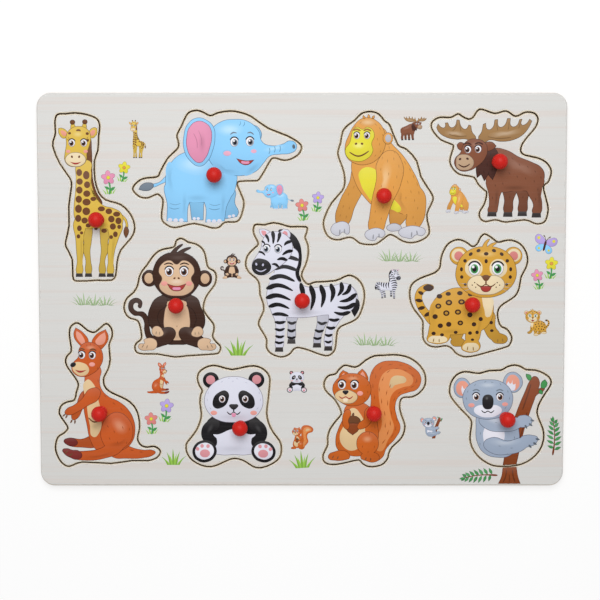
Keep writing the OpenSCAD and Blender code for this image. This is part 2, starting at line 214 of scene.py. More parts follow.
def speckle():
    """Group: fine specks of dust and print dots, as a value from 0 to 1."""
    if "speckle" in bpy.data.node_groups:
        return bpy.data.node_groups["speckle"]
    tree, given, out = new_group("speckle", {"Place": ("Vector", None), "Fineness": ("Float", 2500.0)},
                                 {"Specks": "Float"})
    fine = node(tree, "TexNoise", {"Vector": given["Place"], "Scale": given["Fineness"], "Detail": 3.0})
    broad = node(tree, "TexNoise", {"Vector": given["Place"], "Scale": 45.0, "Detail": 2.0})
    tree.links.new(worked(tree, "MULTIPLY_ADD", remapped(tree, fine.outputs[0], 0.35, 0.65), FINE_SPECKS,
                          worked(tree, "MULTIPLY", broad.outputs[0], BROAD_SPECKS)), out["Specks"])
    return tree


def group(tree, made, inputs):
    """A shader node group with its inputs filled, as its outputs."""
    return node(tree, "Group", inputs, node_tree=made).outputs


def material(name, **shader):
    """A new material, its tree, its shader and the object's own coordinates."""
    made = bpy.data.materials.new(name)
    made.use_nodes = True
    tree = made.node_tree
    surface = tree.nodes["Principled BSDF"]
    for label, value in shader.items():
        surface.inputs[label.replace("_", " ")].default_value = value
    return made, tree, surface, node(tree, "TexCoord").outputs["Object"]


def dressed(tree, surface, colour, roughness, height=None, depth=0.00002):
    """Feeds the shader's colour, roughness and, if there is a height, its normal."""
    tree.links.new(colour, surface.inputs["Base Color"])
    tree.links.new(roughness, surface.inputs["Roughness"])
    if height is not None:
        bump = node(tree, "Bump", {"Strength": 1.0, "Distance": depth, "Height": height})
        tree.links.new(bump.outputs[0], surface.inputs["Normal"])


def once(build):
    """Makes a material at its first use and hands out the same one afterwards."""
    made = []

    def get(colours):
        if not made:
            made.append(build(colours))
        return made[0]
    return get


PRINT_GRAIN = {"Across": 1100.0, "Along": 16.0, "Warp": 0.8}  # the veneer's lines, as they show in the print
GRAIN_HEIGHT = 0.7  # height of those lines beside that of the specks


@once
def printed_face(colours):
    """Pale printed ground with rosy streaks and faint grain, under a satin coat, tinted beside the cuts by
    the hot beam, and painted darker as shade on the upper side of each cut and along the board's lower edge.
    """
    made, tree, surface, place = material("printed face", Specular_IOR_Level=0.3)
    broad = group(tree, wood_grain(), {"Place": place, "Across": 260.0, "Along": 4.0, "Warp": 0.4})["Grain"]
    fine = group(tree, wood_grain(), {"Place": place, **PRINT_GRAIN})["Grain"]
    specks = group(tree, speckle(), {"Place": place})["Specks"]
    colour = mixed(tree, remapped(tree, broad, 0.45, 0.95, 0.0, 0.42), opaque(colours.ground),
                   opaque(colours.streak))
    colour = mixed(tree, remapped(tree, fine, 0.55, 1.0, 0.0, 0.06), colour, tint("fibre"))
    colour = mixed(tree, remapped(tree, specks, 0.2, 0.9, 0.0, 0.05), colour, tint("dust"))
    # the layer holds the burn beside the cuts together with painted shade
    heat_shade = node(tree, "Attribute", attribute_name="heat_and_shade").outputs["Fac"]
    broken = worked(tree, "MULTIPLY", heat_shade, remapped(tree, specks, 0.1, 0.8, 0.7, 1.1))
    colour = mixed(tree, remapped(tree, broken, 0.05, 0.9, 0.0, 0.85), colour, opaque(colours.halo))
    # painted shade: this dark burnt colour falls mostly on the upper side of each cut and on the board's
    # lower edge
    colour = mixed(tree, remapped(tree, broken, 0.86, 1.1, 0.0, 0.7), colour, opaque(colours.scorch_and_shade))
    dressed(tree, surface, colour, remapped(tree, specks, 0.0, 1.0, 0.48, 0.6),
            worked(tree, "MULTIPLY_ADD", fine, GRAIN_HEIGHT, specks))
    return made


@once
def scorched_cut(colours):
    """Burnt wall of a cut, with the fine upright lines that the beam leaves and the plies showing through,
    and painted light that makes the walls paler along the lower side of each cut.
    """
    made, tree, surface, place = material("scorched cut", Specular_IOR_Level=0.25)
    upright = node(tree, "Mapping", {"Vector": place, "Scale": (1500.0, 1500.0, 60.0)})
    lines = node(tree, "TexNoise", {"Vector": upright.outputs[0], "Scale": 1.0, "Detail": 3.0}).outputs[0]
    plies = group(tree, ply_layers(), {"Place": place})
    colour = mixed(tree, remapped(tree, lines, 0.3, 0.75, 0.0, 0.55), opaque(colours.scorch_and_shade),
                   tint("toasted wood"))
    colour = mixed(tree, worked(tree, "MULTIPLY", plies["Middle"], 0.35), colour, tint("burnt ply"))
    colour = mixed(tree, worked(tree, "MULTIPLY", plies["Glue"], 0.5), colour, tint("burnt glue"))
    # painted light: the walls are paler where the layer is low, that is along the lower side of each cut
    wall_painted_light = node(tree, "Attribute", attribute_name="heat_and_shade").outputs["Fac"]
    colour = mixed(tree, remapped(tree, wall_painted_light, 0.82, 0.6, 0.0, 0.6), colour, tint("wall_painted_light"))
    dressed(tree, surface, colour, remapped(tree, lines, 0.2, 0.8, 0.6, 0.85), lines, 0.00006)
    return made


@once
def sanded_ply(colours):
    """Bare plywood: veneer grain on the faces, and the three plies on the sanded outer sides."""
    made, tree, surface, place = material("sanded ply", Specular_IOR_Level=0.35)
    broad = group(tree, wood_grain(), {"Place": place, "Across": 120.0, "Along": 4.0, "Warp": 1.2})["Grain"]
    fine = group(tree, wood_grain(), {"Place": place, "Across": 1400.0, "Along": 30.0})["Grain"]
    face = mixed(tree, remapped(tree, broad, 0.2, 0.9, 0.0, 0.55), opaque(colours.ply), tint("veneer line"))
    face = mixed(tree, remapped(tree, fine, 0.5, 1.0, 0.0, 0.35), face, tint("veneer pore"))
    plies = group(tree, ply_layers(), {"Place": place})
    specks = group(tree, speckle(), {"Place": place, "Fineness": 1800.0})["Specks"]
    side = mixed(tree, plies["Middle"], face, opaque(colours.core))
    ends = worked(tree, "MULTIPLY", plies["Middle"], remapped(tree, specks, 0.3, 0.8, 0.0, 0.6))
    side = mixed(tree, ends, side, tint("ply end"))
    side = mixed(tree, worked(tree, "MULTIPLY", plies["Glue"], 0.6), side, tint("glue"))
    facing = node(tree, "SeparateXYZ", {0: node(tree, "TexCoord").outputs["Normal"]}).outputs["Z"]
    flat = remapped(tree, worked(tree, "ABSOLUTE", facing), 0.55, 0.9)
    dressed(tree, surface, mixed(tree, flat, side, face), remapped(tree, fine, 0.0, 1.0, 0.62, 0.78), fine,
            0.00003)
    return made


@once
def red_plastic(colours):
    """Glossy red plastic with a faint orange-peel skin and a little dust dulling its gloss."""
    made, tree, surface, place = material(
        "red plastic", Coat_Weight=0.03, Coat_Roughness=0.35, Specular_IOR_Level=0.2, Subsurface_Weight=0.08,
        Subsurface_Scale=0.001)
    surface.inputs["Subsurface Radius"].default_value = (1.0, 0.35, 0.2)
    skin = node(tree, "TexNoise", {"Vector": place, "Scale": 900.0, "Detail": 2.0}).outputs[0]
    specks = group(tree, speckle(), {"Place": place, "Fineness": 3200.0})["Specks"]
    colour = mixed(tree, remapped(tree, specks, 0.35, 0.9, 0.0, 0.1), opaque(colours.knob), tint("worn red"))
    dressed(tree, surface, colour, remapped(tree, specks, 0.2, 0.9, 0.42, 0.55), skin, 0.00002)
    return made


@once
def zinc_plate(colours):
    """Bright zinc plating with turning marks round the screw."""
    made, tree, surface, place = material("zinc plate", Metallic=1.0)
    turned = node(tree, "Mapping", {"Vector": place, "Scale": (300.0, 300.0, 9000.0)})
    marks = node(tree, "TexNoise", {"Vector": turned.outputs[0], "Scale": 1.0, "Detail": 3.0}).outputs[0]
    specks = group(tree, speckle(), {"Place": place, "Fineness": 4000.0})["Specks"]
    colour = mixed(tree, remapped(tree, specks, 0.3, 0.9, 0.0, 0.3), opaque(colours.zinc), tint("dull zinc"))
    dressed(tree, surface, colour, remapped(tree, marks, 0.2, 0.8, 0.22, 0.42), marks, 0.00001)
    return made


@once
def printed_ink(colours):
    """Ink printed on the wood: its own colour, airbrushed over each shape, with the veneer's grain in it."""
    made, tree, surface, place = material("printed ink", Specular_IOR_Level=0.07)
    ink = node(tree, "Attribute", attribute_name="ink").outputs["Color"]
    shape = node(tree, "SeparateXYZ", {0: node(tree, "UVMap", uv_map="airbrush").outputs[0]})
    across, up = shape.outputs["X"], shape.outputs["Y"]
    fine = group(tree, wood_grain(), {"Place": place, **PRINT_GRAIN})["Grain"]
    specks = group(tree, speckle(), {"Place": place})["Specks"]
    side = worked(tree, "ABSOLUTE", worked(tree, "SUBTRACT", across, 0.45))
    dark = worked(tree, "MULTIPLY_ADD", remapped(tree, up, 0.55, 0.0), 0.16,
                  worked(tree, "MULTIPLY", remapped(tree, side, 0.2, 0.55), 0.10))
    colour = mixed(tree, dark, ink, mixed(tree, 1.0, ink, tint("airbrush"), "MULTIPLY"))
    light = worked(tree, "MULTIPLY", remapped(tree, up, 0.55, 1.0), 0.03)
    colour = mixed(tree, light, colour, tint("dust"))
    colour = mixed(tree, remapped(tree, fine, 0.45, 1.0, 0.0, 0.012), colour, opaque(colours.ground))
    colour = mixed(tree, remapped(tree, specks, 0.3, 0.9, 0.0, 0.006), colour, tint("dust"))
    dressed(tree, surface, colour, remapped(tree, specks, 0.0, 1.0, 0.5, 0.62),
            worked(tree, "MULTIPLY_ADD", fine, GRAIN_HEIGHT, specks), 0.00001)
    return made


# Mesh building

WELD = 0.001 * MM  # points closer than this are one
TOUCH = 0.01 * MM  # points closer than this to the print lie on it
FLAT_WALL = radians(0.6)  # walls that meet at less than this are one
RIM = 1.5 * MM  # width of the board's edge
CORNER = 8 * MM  # size of the board's rounded corners
SCREW_REACH = 3 * MM  # distance round a screw's middle that is left as it is
CUT_HEAT, CUT_SHADE_LEAN = 0.8, 0.2  # burn beside a cut, and how much painted shade is added where the cut faces the board's upper edge (and taken off where it faces the lower edge)
RIM_SHADE = 1.4  # painted shade on the board's lower edge, laid on as a dark burnt tint
RIM_SHADE_FROM, RIM_SHADE_RANGE = 0.4, 0.3  # where that painted shade starts, as the edge turns downwards, and how it rises
SHEET_SMOOTH, KNOB_SMOOTH = radians(50), radians(40)


def merged_copy(name):
    """The mesh of a CAD node, with its loose triangles joined and its upright walls made whole."""
    bm = bmesh.new()
    bm.from_mesh(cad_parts[name].data)
    bmesh.ops.remove_doubles(bm, verts=bm.verts, dist=WELD)
    bm.normal_update()
    inside_wall = [e for e in bm.edges if len(e.link_faces) == 2 and all(is_upright(f) for f in e.link_faces)
                   and e.calc_face_angle() < FLAT_WALL]
    bmesh.ops.dissolve_edges(bm, edges=inside_wall, use_verts=False)
    bm.normal_update()
    return bm


def placed(name, bm, materials, smooth_angle=None):
    """A new object of this mesh, at the origin."""
    mesh = bpy.data.meshes.new(name)
    for one in materials:
        mesh.materials.append(one)
    bm.to_mesh(mesh)
    bm.free()
    if smooth_angle is not None:
        mesh.shade_smooth()
        mesh.set_sharp_from_angle(angle=smooth_angle)
    made = bpy.data.objects.new(name, mesh)
    bpy.context.scene.collection.objects.link(made)
    return made


def is_upright(face):
    """Whether a face is part of a wall."""
    return abs(face.normal.z) < 0.1


def is_print(face):
    """Whether a face is part of the printed side."""
    return face.normal.z > 0.999 and abs(face.calc_center_median().z - PRINT_Z) < TOUCH


def on_rim(point):
    """Whether a point lies on one of the board's outer sides or rounded corners."""
    to_side, to_edge = BOARD_HIGH.x - abs(point.x), BOARD_HIGH.y - abs(point.y)
    return to_side < RIM or to_edge < RIM or (to_side < CORNER and to_edge < CORNER)


PRINTED, SCORCHED, SANDED = range(3)


def folded_sides(ring, inner):
    """The inner sides of a ring of faces that run against their outer sides, as they do in a tight corner."""
    folded = set()
    for side in (side for face in ring if face.is_valid for side in face.loops):
        facing = side.link_loop_next.link_loop_next
        along, opposite = (s.link_loop_next.vert.co - s.vert.co for s in (side, facing))
        if along.dot(opposite) > 0 and any(f in inner for f in side.edge.link_faces):
            folded.add(side.edge)
    return folded


def ringed(bm, faces, width):
    """Insets faces by this width, and fills them anew, so that nothing folds over in tight corners."""
    ring = bmesh.ops.inset_region(bm, faces=faces, thickness=width, use_boundary=True,
                                  use_even_offset=True)["faces"]
    inner = set(faces)
    while folded := folded_sides(ring, inner):
        bmesh.ops.collapse(bm, edges=list(folded))
        faces = [f for f in faces if f.is_valid]
        inner = set(faces)
    loops = [e for f in faces for e in f.edges
             if len(e.link_faces) == 2 and any(g not in inner for g in e.link_faces)]
    bmesh.ops.delete(bm, geom=faces, context="FACES_KEEP_BOUNDARY")
    filled = bmesh.ops.triangle_fill(bm, use_beauty=True, edges=list(set(loops)), normal=(0, 0, 1))["geom"]
    bm.normal_update()
    return [f for f in filled if isinstance(f, bmesh.types.BMFace)]


def worked_sheet(name, node_name, sizes, colours, screw, window):
    """A printed sheet: the upper edges of its cuts worn and scorched, with a ring tinted by the hot beam
    beside them, and painted shade that darkens the upper side of each cut and the board's lower edge.
    """
    bm = merged_copy(node_name)

    def near_screw(v):
        return screw is not None and (v.co.xy - screw).length < SCREW_REACH

    tops = ringed(bm, [f for f in bm.faces if is_print(f)], sizes.edge_round)
    edge = {v for f in bm.faces if is_upright(f) for v in f.verts if v.co.z > PRINT_Z - TOUCH}
    edge = {v for v in edge if not on_rim(v.co) and not near_screw(v)}
    ringed(bm, tops, sizes.halo)
    for v in edge:
        v.co.z -= sizes.edge_round
    bm.normal_update()
    # this layer holds both the burn beside the cuts and the painted shade on the upper side of the cuts and
    # on the board's lower edge
    heat_shade = bm.verts.layers.float.new("heat_and_shade")
    for v in bm.verts:
        around = [f.normal for f in v.link_faces if not is_print(f)]
        if around and not near_screw(v):
            # painted shade: how far the faces round this point turn towards the side that gets the painted
            # shade (the upper side of a cut, the lower edge of the board)
            shade_facing = sum(around, Vector()).normalized().y * (-1 if window else 1)
            # painted shade: the board's lower edge is tinted dark like a burn
            rim_shade = min(max((shade_facing - RIM_SHADE_FROM) / RIM_SHADE_RANGE, 0), 1)
            v[heat_shade] = RIM_SHADE * rim_shade if on_rim(v.co) else CUT_HEAT + CUT_SHADE_LEAN * shade_facing
    for f in bm.faces:
        f.smooth = True
        if is_print(f):
            f.material_index = PRINTED
        elif f.normal.z < -0.9:
            f.material_index = SANDED
        elif window and on_rim(f.calc_center_median()):
            f.material_index = PRINTED if f.normal.z > 0.35 else SANDED
        else:
            f.material_index = SCORCHED
    return placed(name, bm, [printed_face(colours), scorched_cut(colours), sanded_ply(colours)], SHEET_SMOOTH)


class PUZZLE_OT_plain_board(bpy.types.Operator):
    """Gives the plain sheet underneath its plywood"""
    bl_idname = "puzzle.plain_board"
    bl_label = "Plain board"

    def execute(self, context):
        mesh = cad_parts["backing_board"].data
        mesh.materials.clear()
        mesh.materials.append(sanded_ply(context.scene.puzzle_colours))
        return {"FINISHED"}


class PUZZLE_OT_printed_board(bpy.types.Operator):
    """Makes the printed sheet with its windows"""
    bl_idname = "puzzle.printed_board"
    bl_label = "Printed board"

    def execute(self, context):
        scene = context.scene
        board = worked_sheet("printed_board", "frame_board", scene.puzzle_sizes, scene.puzzle_colours,
                             screw=None, window=True)
        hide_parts("frame_board")
        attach(board, "board")
        return {"FINISHED"}


class PUZZLE_OT_animal_pieces(bpy.types.Operator):
    """Makes the eleven contour-cut pieces"""
    bl_idname = "puzzle.animal_pieces"
    bl_label = "Animal pieces"

    def execute(self, context):
        scene = context.scene
        for animal in ANIMALS:
            low, high = (Vector(corner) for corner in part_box(f"{animal}_screw"))
            piece = worked_sheet(f"{animal}_cutout", f"{animal}_piece", scene.puzzle_sizes,
                                 scene.puzzle_colours, screw=((low + high) / 2).xy, window=False)
            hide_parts(f"{animal}_piece")
            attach(piece, animal)
        return {"FINISHED"}


def swept(bm, tip, centre, angle, steps):
    """Carries a profile's end point round a centre in the XZ plane, and returns the new end point."""
    made = bmesh.ops.spin(bm, geom=[tip], cent=centre, axis=(0, 1, 0), angle=angle, steps=steps,
                          use_duplicate=False)["geom_last"]
    return next(v for v in made if isinstance(v, bmesh.types.BMVert))


def carried(bm, tip, to):
    """Draws a profile's end point straight on to a point (x, z), and returns the new end point."""
    made = bmesh.ops.extrude_vert_indiv(bm, verts=[tip])["verts"][0]
    made.co = (to[0], 0, to[1])
    return made


LIP = 0.2 * MM  # rounding of the flange's upper edge
BALL_STEPS, COVE_STEPS, LIP_STEPS = 26, 6, 4


def knob_mesh(sizes):
    """A knob standing at the origin, turned from one profile: ball, neck, cove, flange and bore."""
    bm = bmesh.new()
    ball, neck, flange, bore = (d / 2 for d in (sizes.knob_d, sizes.neck_d, sizes.flange_d, sizes.bore_d))
    low, high = (Vector(corner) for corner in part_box("giraffe_knob"))
    top = high.z - low.z
    under_middle = (ball ** 2 - neck ** 2) ** 0.5
    tip = bm.verts.new((0, 0, top))
    tip = swept(bm, tip, (0, 0, top - ball), atan2(neck, -under_middle), BALL_STEPS)
    tip = carried(bm, tip, (neck, sizes.flange_h + sizes.cove))
    tip = swept(bm, tip, (neck + sizes.cove, 0, sizes.flange_h + sizes.cove), -pi / 2, COVE_STEPS)
    tip = carried(bm, tip, (flange - LIP, sizes.flange_h))
    tip = swept(bm, tip, (flange - LIP, 0, sizes.flange_h - LIP), pi / 2, LIP_STEPS)
    for corner in ((flange, 0), (bore, 0), (bore, sizes.bore_h), (0, sizes.bore_h)):
        tip = carried(bm, tip, corner)
    bmesh.ops.spin(bm, geom=list(bm.verts) + list(bm.edges), cent=(0, 0, 0), axis=(0, 0, 1), angle=2 * pi,
                   steps=sizes.knob_steps, use_merge=True, use_duplicate=False)
    bmesh.ops.remove_doubles(bm, verts=bm.verts, dist=WELD)
    bmesh.ops.dissolve_degenerate(bm, edges=bm.edges, dist=WELD)
    bmesh.ops.recalc_face_normals(bm, faces=bm.faces)
    return bm


class PUZZLE_OT_knobs(bpy.types.Operator):
    """Makes the eleven knobs"""
    bl_idname = "puzzle.knobs"
    bl_label = "Knobs"

    def execute(self, context):
        scene = context.scene
        for animal in ANIMALS:
            low, high = (Vector(corner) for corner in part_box(f"{animal}_knob"))
            bm = knob_mesh(scene.puzzle_sizes)
            bmesh.ops.translate(bm, verts=bm.verts, vec=((low.x + high.x) / 2, (low.y + high.y) / 2, low.z))
            knob = placed(f"{animal}_grip", bm, [red_plastic(scene.puzzle_colours)], KNOB_SMOOTH)
            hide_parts(f"{animal}_knob")
            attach(knob, animal)
        return {"FINISHED"}


class PUZZLE_OT_screws(bpy.types.Operator):
    """Gives the eleven screws their zinc plating"""
    bl_idname = "puzzle.screws"
    bl_label = "Screws"

    def execute(self, context):
        for animal in ANIMALS:
            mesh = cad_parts[f"{animal}_screw"].data
            mesh.materials.clear()
            mesh.materials.append(zinc_plate(context.scene.puzzle_colours))
        return {"FINISHED"}


# Drawing: every picture is a list of steps, drawn in millimetres


def path(text):
    """An outline through points 'x y', in millimetres. A point with an ! is a sharp corner."""
    points = (point.split() for point in text.replace("!", " !").split(","))
    return [(float(p[0]), float(p[1]), len(p) > 2) for p in points]


def paths(*texts):
    """Several outlines through points."""
    return [path(text) for text in texts]


def turned(ring, x, y, turn):
    """An outline drawn round the origin, turned by degrees and set down at (x, y)."""
    t = radians(turn)
    return [(x + a * cos(t) - b * sin(t), y + a * sin(t) + b * cos(t), corner) for a, b, corner in ring]


def oval(x, y, rx, ry=None, turn=0):
    """An ellipse round (x, y), turned by degrees."""
    ry = ry or rx
    points = 4 if rx == ry else 8
    angles = [2 * pi * k / points for k in range(points)]
    return turned([(rx * cos(a), ry * sin(a), False) for a in angles], x, y, turn)


def ovals(text):
    """Several ellipses, each as 'x y rx', 'x y rx ry' or 'x y rx ry turn'."""
    return [oval(*map(float, one.split())) for one in text.split(",")]


def limb(text):
    """A round-ended stroke along points 'x y radius'."""
    spine = [tuple(map(float, point.split())) for point in text.split(",")]
    left, right = [], []
    for k, (x, y, r) in enumerate(spine):
        (x0, y0, _), (x1, y1, _) = spine[max(k - 1, 0)], spine[min(k + 1, len(spine) - 1)]
        length = hypot(x1 - x0, y1 - y0)
        dx, dy = (x1 - x0) / length * r, (y1 - y0) / length * r
        if k == 0:
            left.append((x - dx, y - dy, False))
        left.append((x - dy, y + dx, False))
        right.insert(0, (x + dy, y - dx, False))
        if k == len(spine) - 1:
            left.append((x + dx, y + dy, False))
    return left + right


def limbs(*texts):
    """Several round-ended strokes."""
    return [limb(text) for text in texts]


WIDEST = 0.4  # share of a leaf's or hair's length at which it is widest


def leaf(x, y, length, width, turn, sharp=False):
    """A pointed leaf that grows from (x, y) towards turn degrees, with round sides or sharp ones."""
    return turned([(0, 0, True), (length * WIDEST, width / 2, sharp), (length, 0, True),
                   (length * WIDEST, -width / 2, sharp)], x, y, turn)


def hairs(text, width=0.32):
    """Thin straight strokes that taper at both ends, each as 'x y length turn'."""
    places = (map(float, hair.split()) for hair in text.split(","))
    return [leaf(x, y, length, width, turn, sharp=True) for x, y, length, turn in places]


def blades(text):
    """Blades of grass on one line, each as 'x lean height width'."""
    made = []
    for blade in text.split(","):
        x, lean, height, width = map(float, blade.split())
        bend = x + lean * 0.35
        made.append([(x - width / 2, 0, True), (bend - width * 0.45, height / 2, False),
                     (x + lean, height, True), (bend + width * 0.45, height / 2, False),
                     (x + width / 2, 0, True)])
    return made


class Picture:
    """Shapes of ink in the order of printing, in millimetres from the lower left of a piece's cut line."""

    def __init__(self):
        self.steps = []

    def lined(self, ink, *outlines, tone=1):
        """Shapes with a thin dark line round all of them together."""
        self.steps.append((ink, tone, "lined", outlines))

    def fill(self, ink, *outlines, tone=1):
        """Shapes without a line round them."""
        self.steps.append((ink, tone, "plain", outlines))

    def soft(self, ink, tone, *outlines):
        """Lighter or darker shapes on the same ink, that fade out towards their edge."""
        self.steps.append((ink, tone, "soft", outlines))


INKS = {
    "bright": "F6F6FA", "white": "DDDEEB", "snow": "E6E6F0", "dusk": "C3C3D8", "ash": "CCCDD6",
    "mist": "A1AFC3", "slate": "76828F", "soot": "232124", "black": "1A181B", "pupil": "1D1820",
    "hoof": "393433", "cocoa": "3E261C", "mane": "4C2C24", "umber": "70462A", "chestnut": "84513A",
    "bark": "88431F", "antler": "A17C51", "rust": "C85B26", "copper": "C96322", "ginger": "E08E50",
    "amber": "DE9E4D", "gold": "D4A03C", "ochre": "DBB94E", "tan": "DBB997", "sand": "E2C495",
    "cream": "EAD8B2", "peach": "EAA08A", "blush": "ECA298", "coral": "DE8883", "pink": "E49CA3",
    "rose": "E294B4", "mouth": "A63A34", "wine": "7F2F2B", "lemon": "E2D93F", "grass": "99CB52",
    "leaf": "489754", "sage": "AECB97", "sky": "8FCEF8", "lilac": "B9A6E0",
}


def eyes(p, r, *places, look=(0, 0), iris="umber"):
    """Round eyes of radius r: white, iris, pupil and a glint."""
    p.lined("bright", *(oval(x, y, r, r * 1.16) for x, y in places))
    at = [(x + look[0] * r, y + look[1] * r) for x, y in places]
    p.fill(iris, *(oval(x, y, r * 0.66, r * 0.80) for x, y in at))
    p.fill("pupil", *(oval(x, y, r * 0.40, r * 0.52) for x, y in at))
    p.fill("bright", *(oval(x - r * 0.24, y + r * 0.34, r * 0.24) for x, y in at))
    lid = ((-1.04, 0.5, 0.06), (-0.6, 1.02, 0.13), (0.1, 1.2, 0.15), (0.72, 0.94, 0.12), (1.06, 0.5, 0.06))
    p.fill("pupil", *(limb(",".join(f"{x + r * a} {y + r * b} {r * half}" for a, b, half in lid))
                      for x, y in places))


def giraffe(p):
    """A giraffe with a patched coat, looking straight out."""
    p.lined("umber", limb("20.2 82 1, 20.4 74 1.7, 20.6 66 1.7, 21.2 57 1.5, 23.4 50 1.3, 27.2 44.2 .7"))
    p.fill("umber", *hairs(
        "20.4 79 2.2 60, 20.6 74.6 2.2 58, 20.8 70 2.2 56, 20.9 65.6 2.2 56, 21.1 61 2.1 58, 21.6 56.6 2 60,"
        "22.8 52.6 1.8 62, 24.4 48.6 1.6 66"), tone=0.5)
    p.lined("ochre", limb("36.5 37.5 .9, 39.8 36 .8, 41.4 33 .7, 41.4 29.6 .6"))
    p.lined("umber", path("41 31, 42.5 29.6, 42.5 27, 41 24.2!, 39.8 26.6, 39.8 29.2"))
    p.lined("ochre", *limbs("18.4 32 3, 19.2 22 2.2, 18.6 17.6 2.1, 19.4 12 1.5, 19.6 4.6 1.7",
                            "30.5 31 3.6, 28.6 23 2.3, 28.8 17.8 2.1, 27.6 12 1.5, 27.4 4.6 1.7"), tone=0.8)
    p.lined("ochre", path("13.6 66, 12.9 58, 12.4 50, 11.6 43, 11.8 36, 14.5 31.2, 20 29.6, 27 30.6, 32 29,"
                          "37 29.6, 39.4 33.4, 38.6 38.4, 34 41.4, 28.4 43, 25 46.6, 22.6 52, 21.4 60,"
                          "21 68"),
            *limbs("14.8 34 3.3, 14.6 24 2.3, 14.8 18 2.2, 14.6 11 1.6, 14.4 4.6 1.8",
                   "35 33 4.2, 34 24 2.7, 32.6 18 2.2, 32.2 11 1.6, 32 4.6 1.8"))
    p.soft("ochre", 0.8, oval(25.4, 31.6, 8, 1.7),
           *limbs("20.4 63 .9, 20.2 55 1.1, 22 47.6 1, 26 43.4 .6", "15.8 28 .8, 15.6 18 .7, 15.3 8 .6",
                  "34.6 28 1, 33.4 18 .8, 32.8 8 .6"))
    p.soft("ochre", 1.35, limb("14.4 64 .8, 14 54 1, 13.2 45 1, 13.4 37 1"), oval(32, 39.6, 4.4, 1))
    p.fill("hoof", *(path(f"{x - 1.9} 4.4!, {x - 2.2} 2.4!, {x + 2.0} 2.4!, {x + 1.7} 4.4!")
                     for x in (14.4, 19.6, 27.4, 32)))
    p.fill("umber", *ovals(
        "14.8 61.5 1.6 2.0, 18.8 60 1.8 2.4, 15 56.4 1.8 1.8, 19.2 54.6 1.7 1.9, 14.8 51.6 1.8 2.0,"
        "19 49.6 2.0 1.8, 14.4 46.4 1.8 2.0, 18.8 44.8 2.3 1.9, 22.6 46.6 1.6 1.2, 14.2 41 1.9 2.3,"
        "18.6 39.6 2.2 2.2, 14 35.6 1.7 2.0, 17.6 34.4 1.8 1.7, 27.2 41 2.0 1.4, 31.4 39.6 1.9 1.6,"
        "35.8 38 2.0 1.4, 32.8 35.2 1.8 1.9, 36.8 34.2 1.7 1.9, 33.6 31 1.7 1.8, 37.2 30.8 1.1 1.2,"
        "19.6 31.6 1.4 1.2, 14.6 30 1.3 1.6, 35 26.6 1.3 1.6, 32.6 25 1.0 1.1, 14 25.4 1.0 1.2,"
        "15.8 27.4 .9 .9, 28.6 28.6 1.6 1.2, 24 29.8 1.0 .8"))
    p.lined("ochre", *paths("8.6 83.6, 5.4 86.6, 3.2 86.4!, 3.6 83, 6.6 80.6",
                            "20.4 84, 23.4 87, 25.2 86.4!, 25 83, 21.8 80.8"))
    p.fill("peach", *paths("8 83.2, 5.6 85.2, 4.4 85!, 5 83.2, 7 82",
                           "21.2 83.6, 23.2 85.6, 24.2 85!, 23.6 83, 22 82.2"))
    p.lined("ochre", *limbs("11.8 84 1, 11.4 89 .9", "17.6 84.4 1, 18.2 89.2 .9"))
    p.lined("umber", *ovals("11.3 89.8 1.5 1.4, 18.3 90 1.5 1.4"))
    p.lined("ochre", path(
        "14.8 87.6, 19.4 86.2, 21.6 82.4, 21 77.4, 19.4 72.6, 19 68.4, 16.4 65.4, 12.6 64.6, 8.8 65.4,"
        "6.6 68.4, 6.8 72.6, 7.6 77.4, 7.6 82.4, 10.2 86.2"))
    p.fill("umber", *ovals("14.6 85 1.3 .9, 9.6 83.6 .8 .7, 19.6 83.4 .9 .8, 19.8 79.6 .7 .8"))
    p.lined("cream", oval(12.8, 68.8, 5.9, 4.1))
    p.fill("umber", *ovals("10.8 70.4 .55 .75 20, 14.9 70.4 .55 .75 -20"))
    p.fill("mouth", path("9.4 67.6!, 12.8 66, 16.4 67.6!, 12.9 67"))
    eyes(p, 1.9, (10.8, 78.2), (17.6, 78.2), look=(-0.1, -0.1))
    p.soft("ochre", 1.35, oval(14.2, 83, 3.2, 1.8))
    p.fill("umber", *hairs("8.9 79.6 1.5 140, 9.4 80.4 1.5 122, 19.2 80.3 1.5 58, 19.6 79.5 1.5 40"))
    p.fill("blush", *ovals("8.7 73.4 1.2 .9, 18.6 73.4 1.2 .9"))


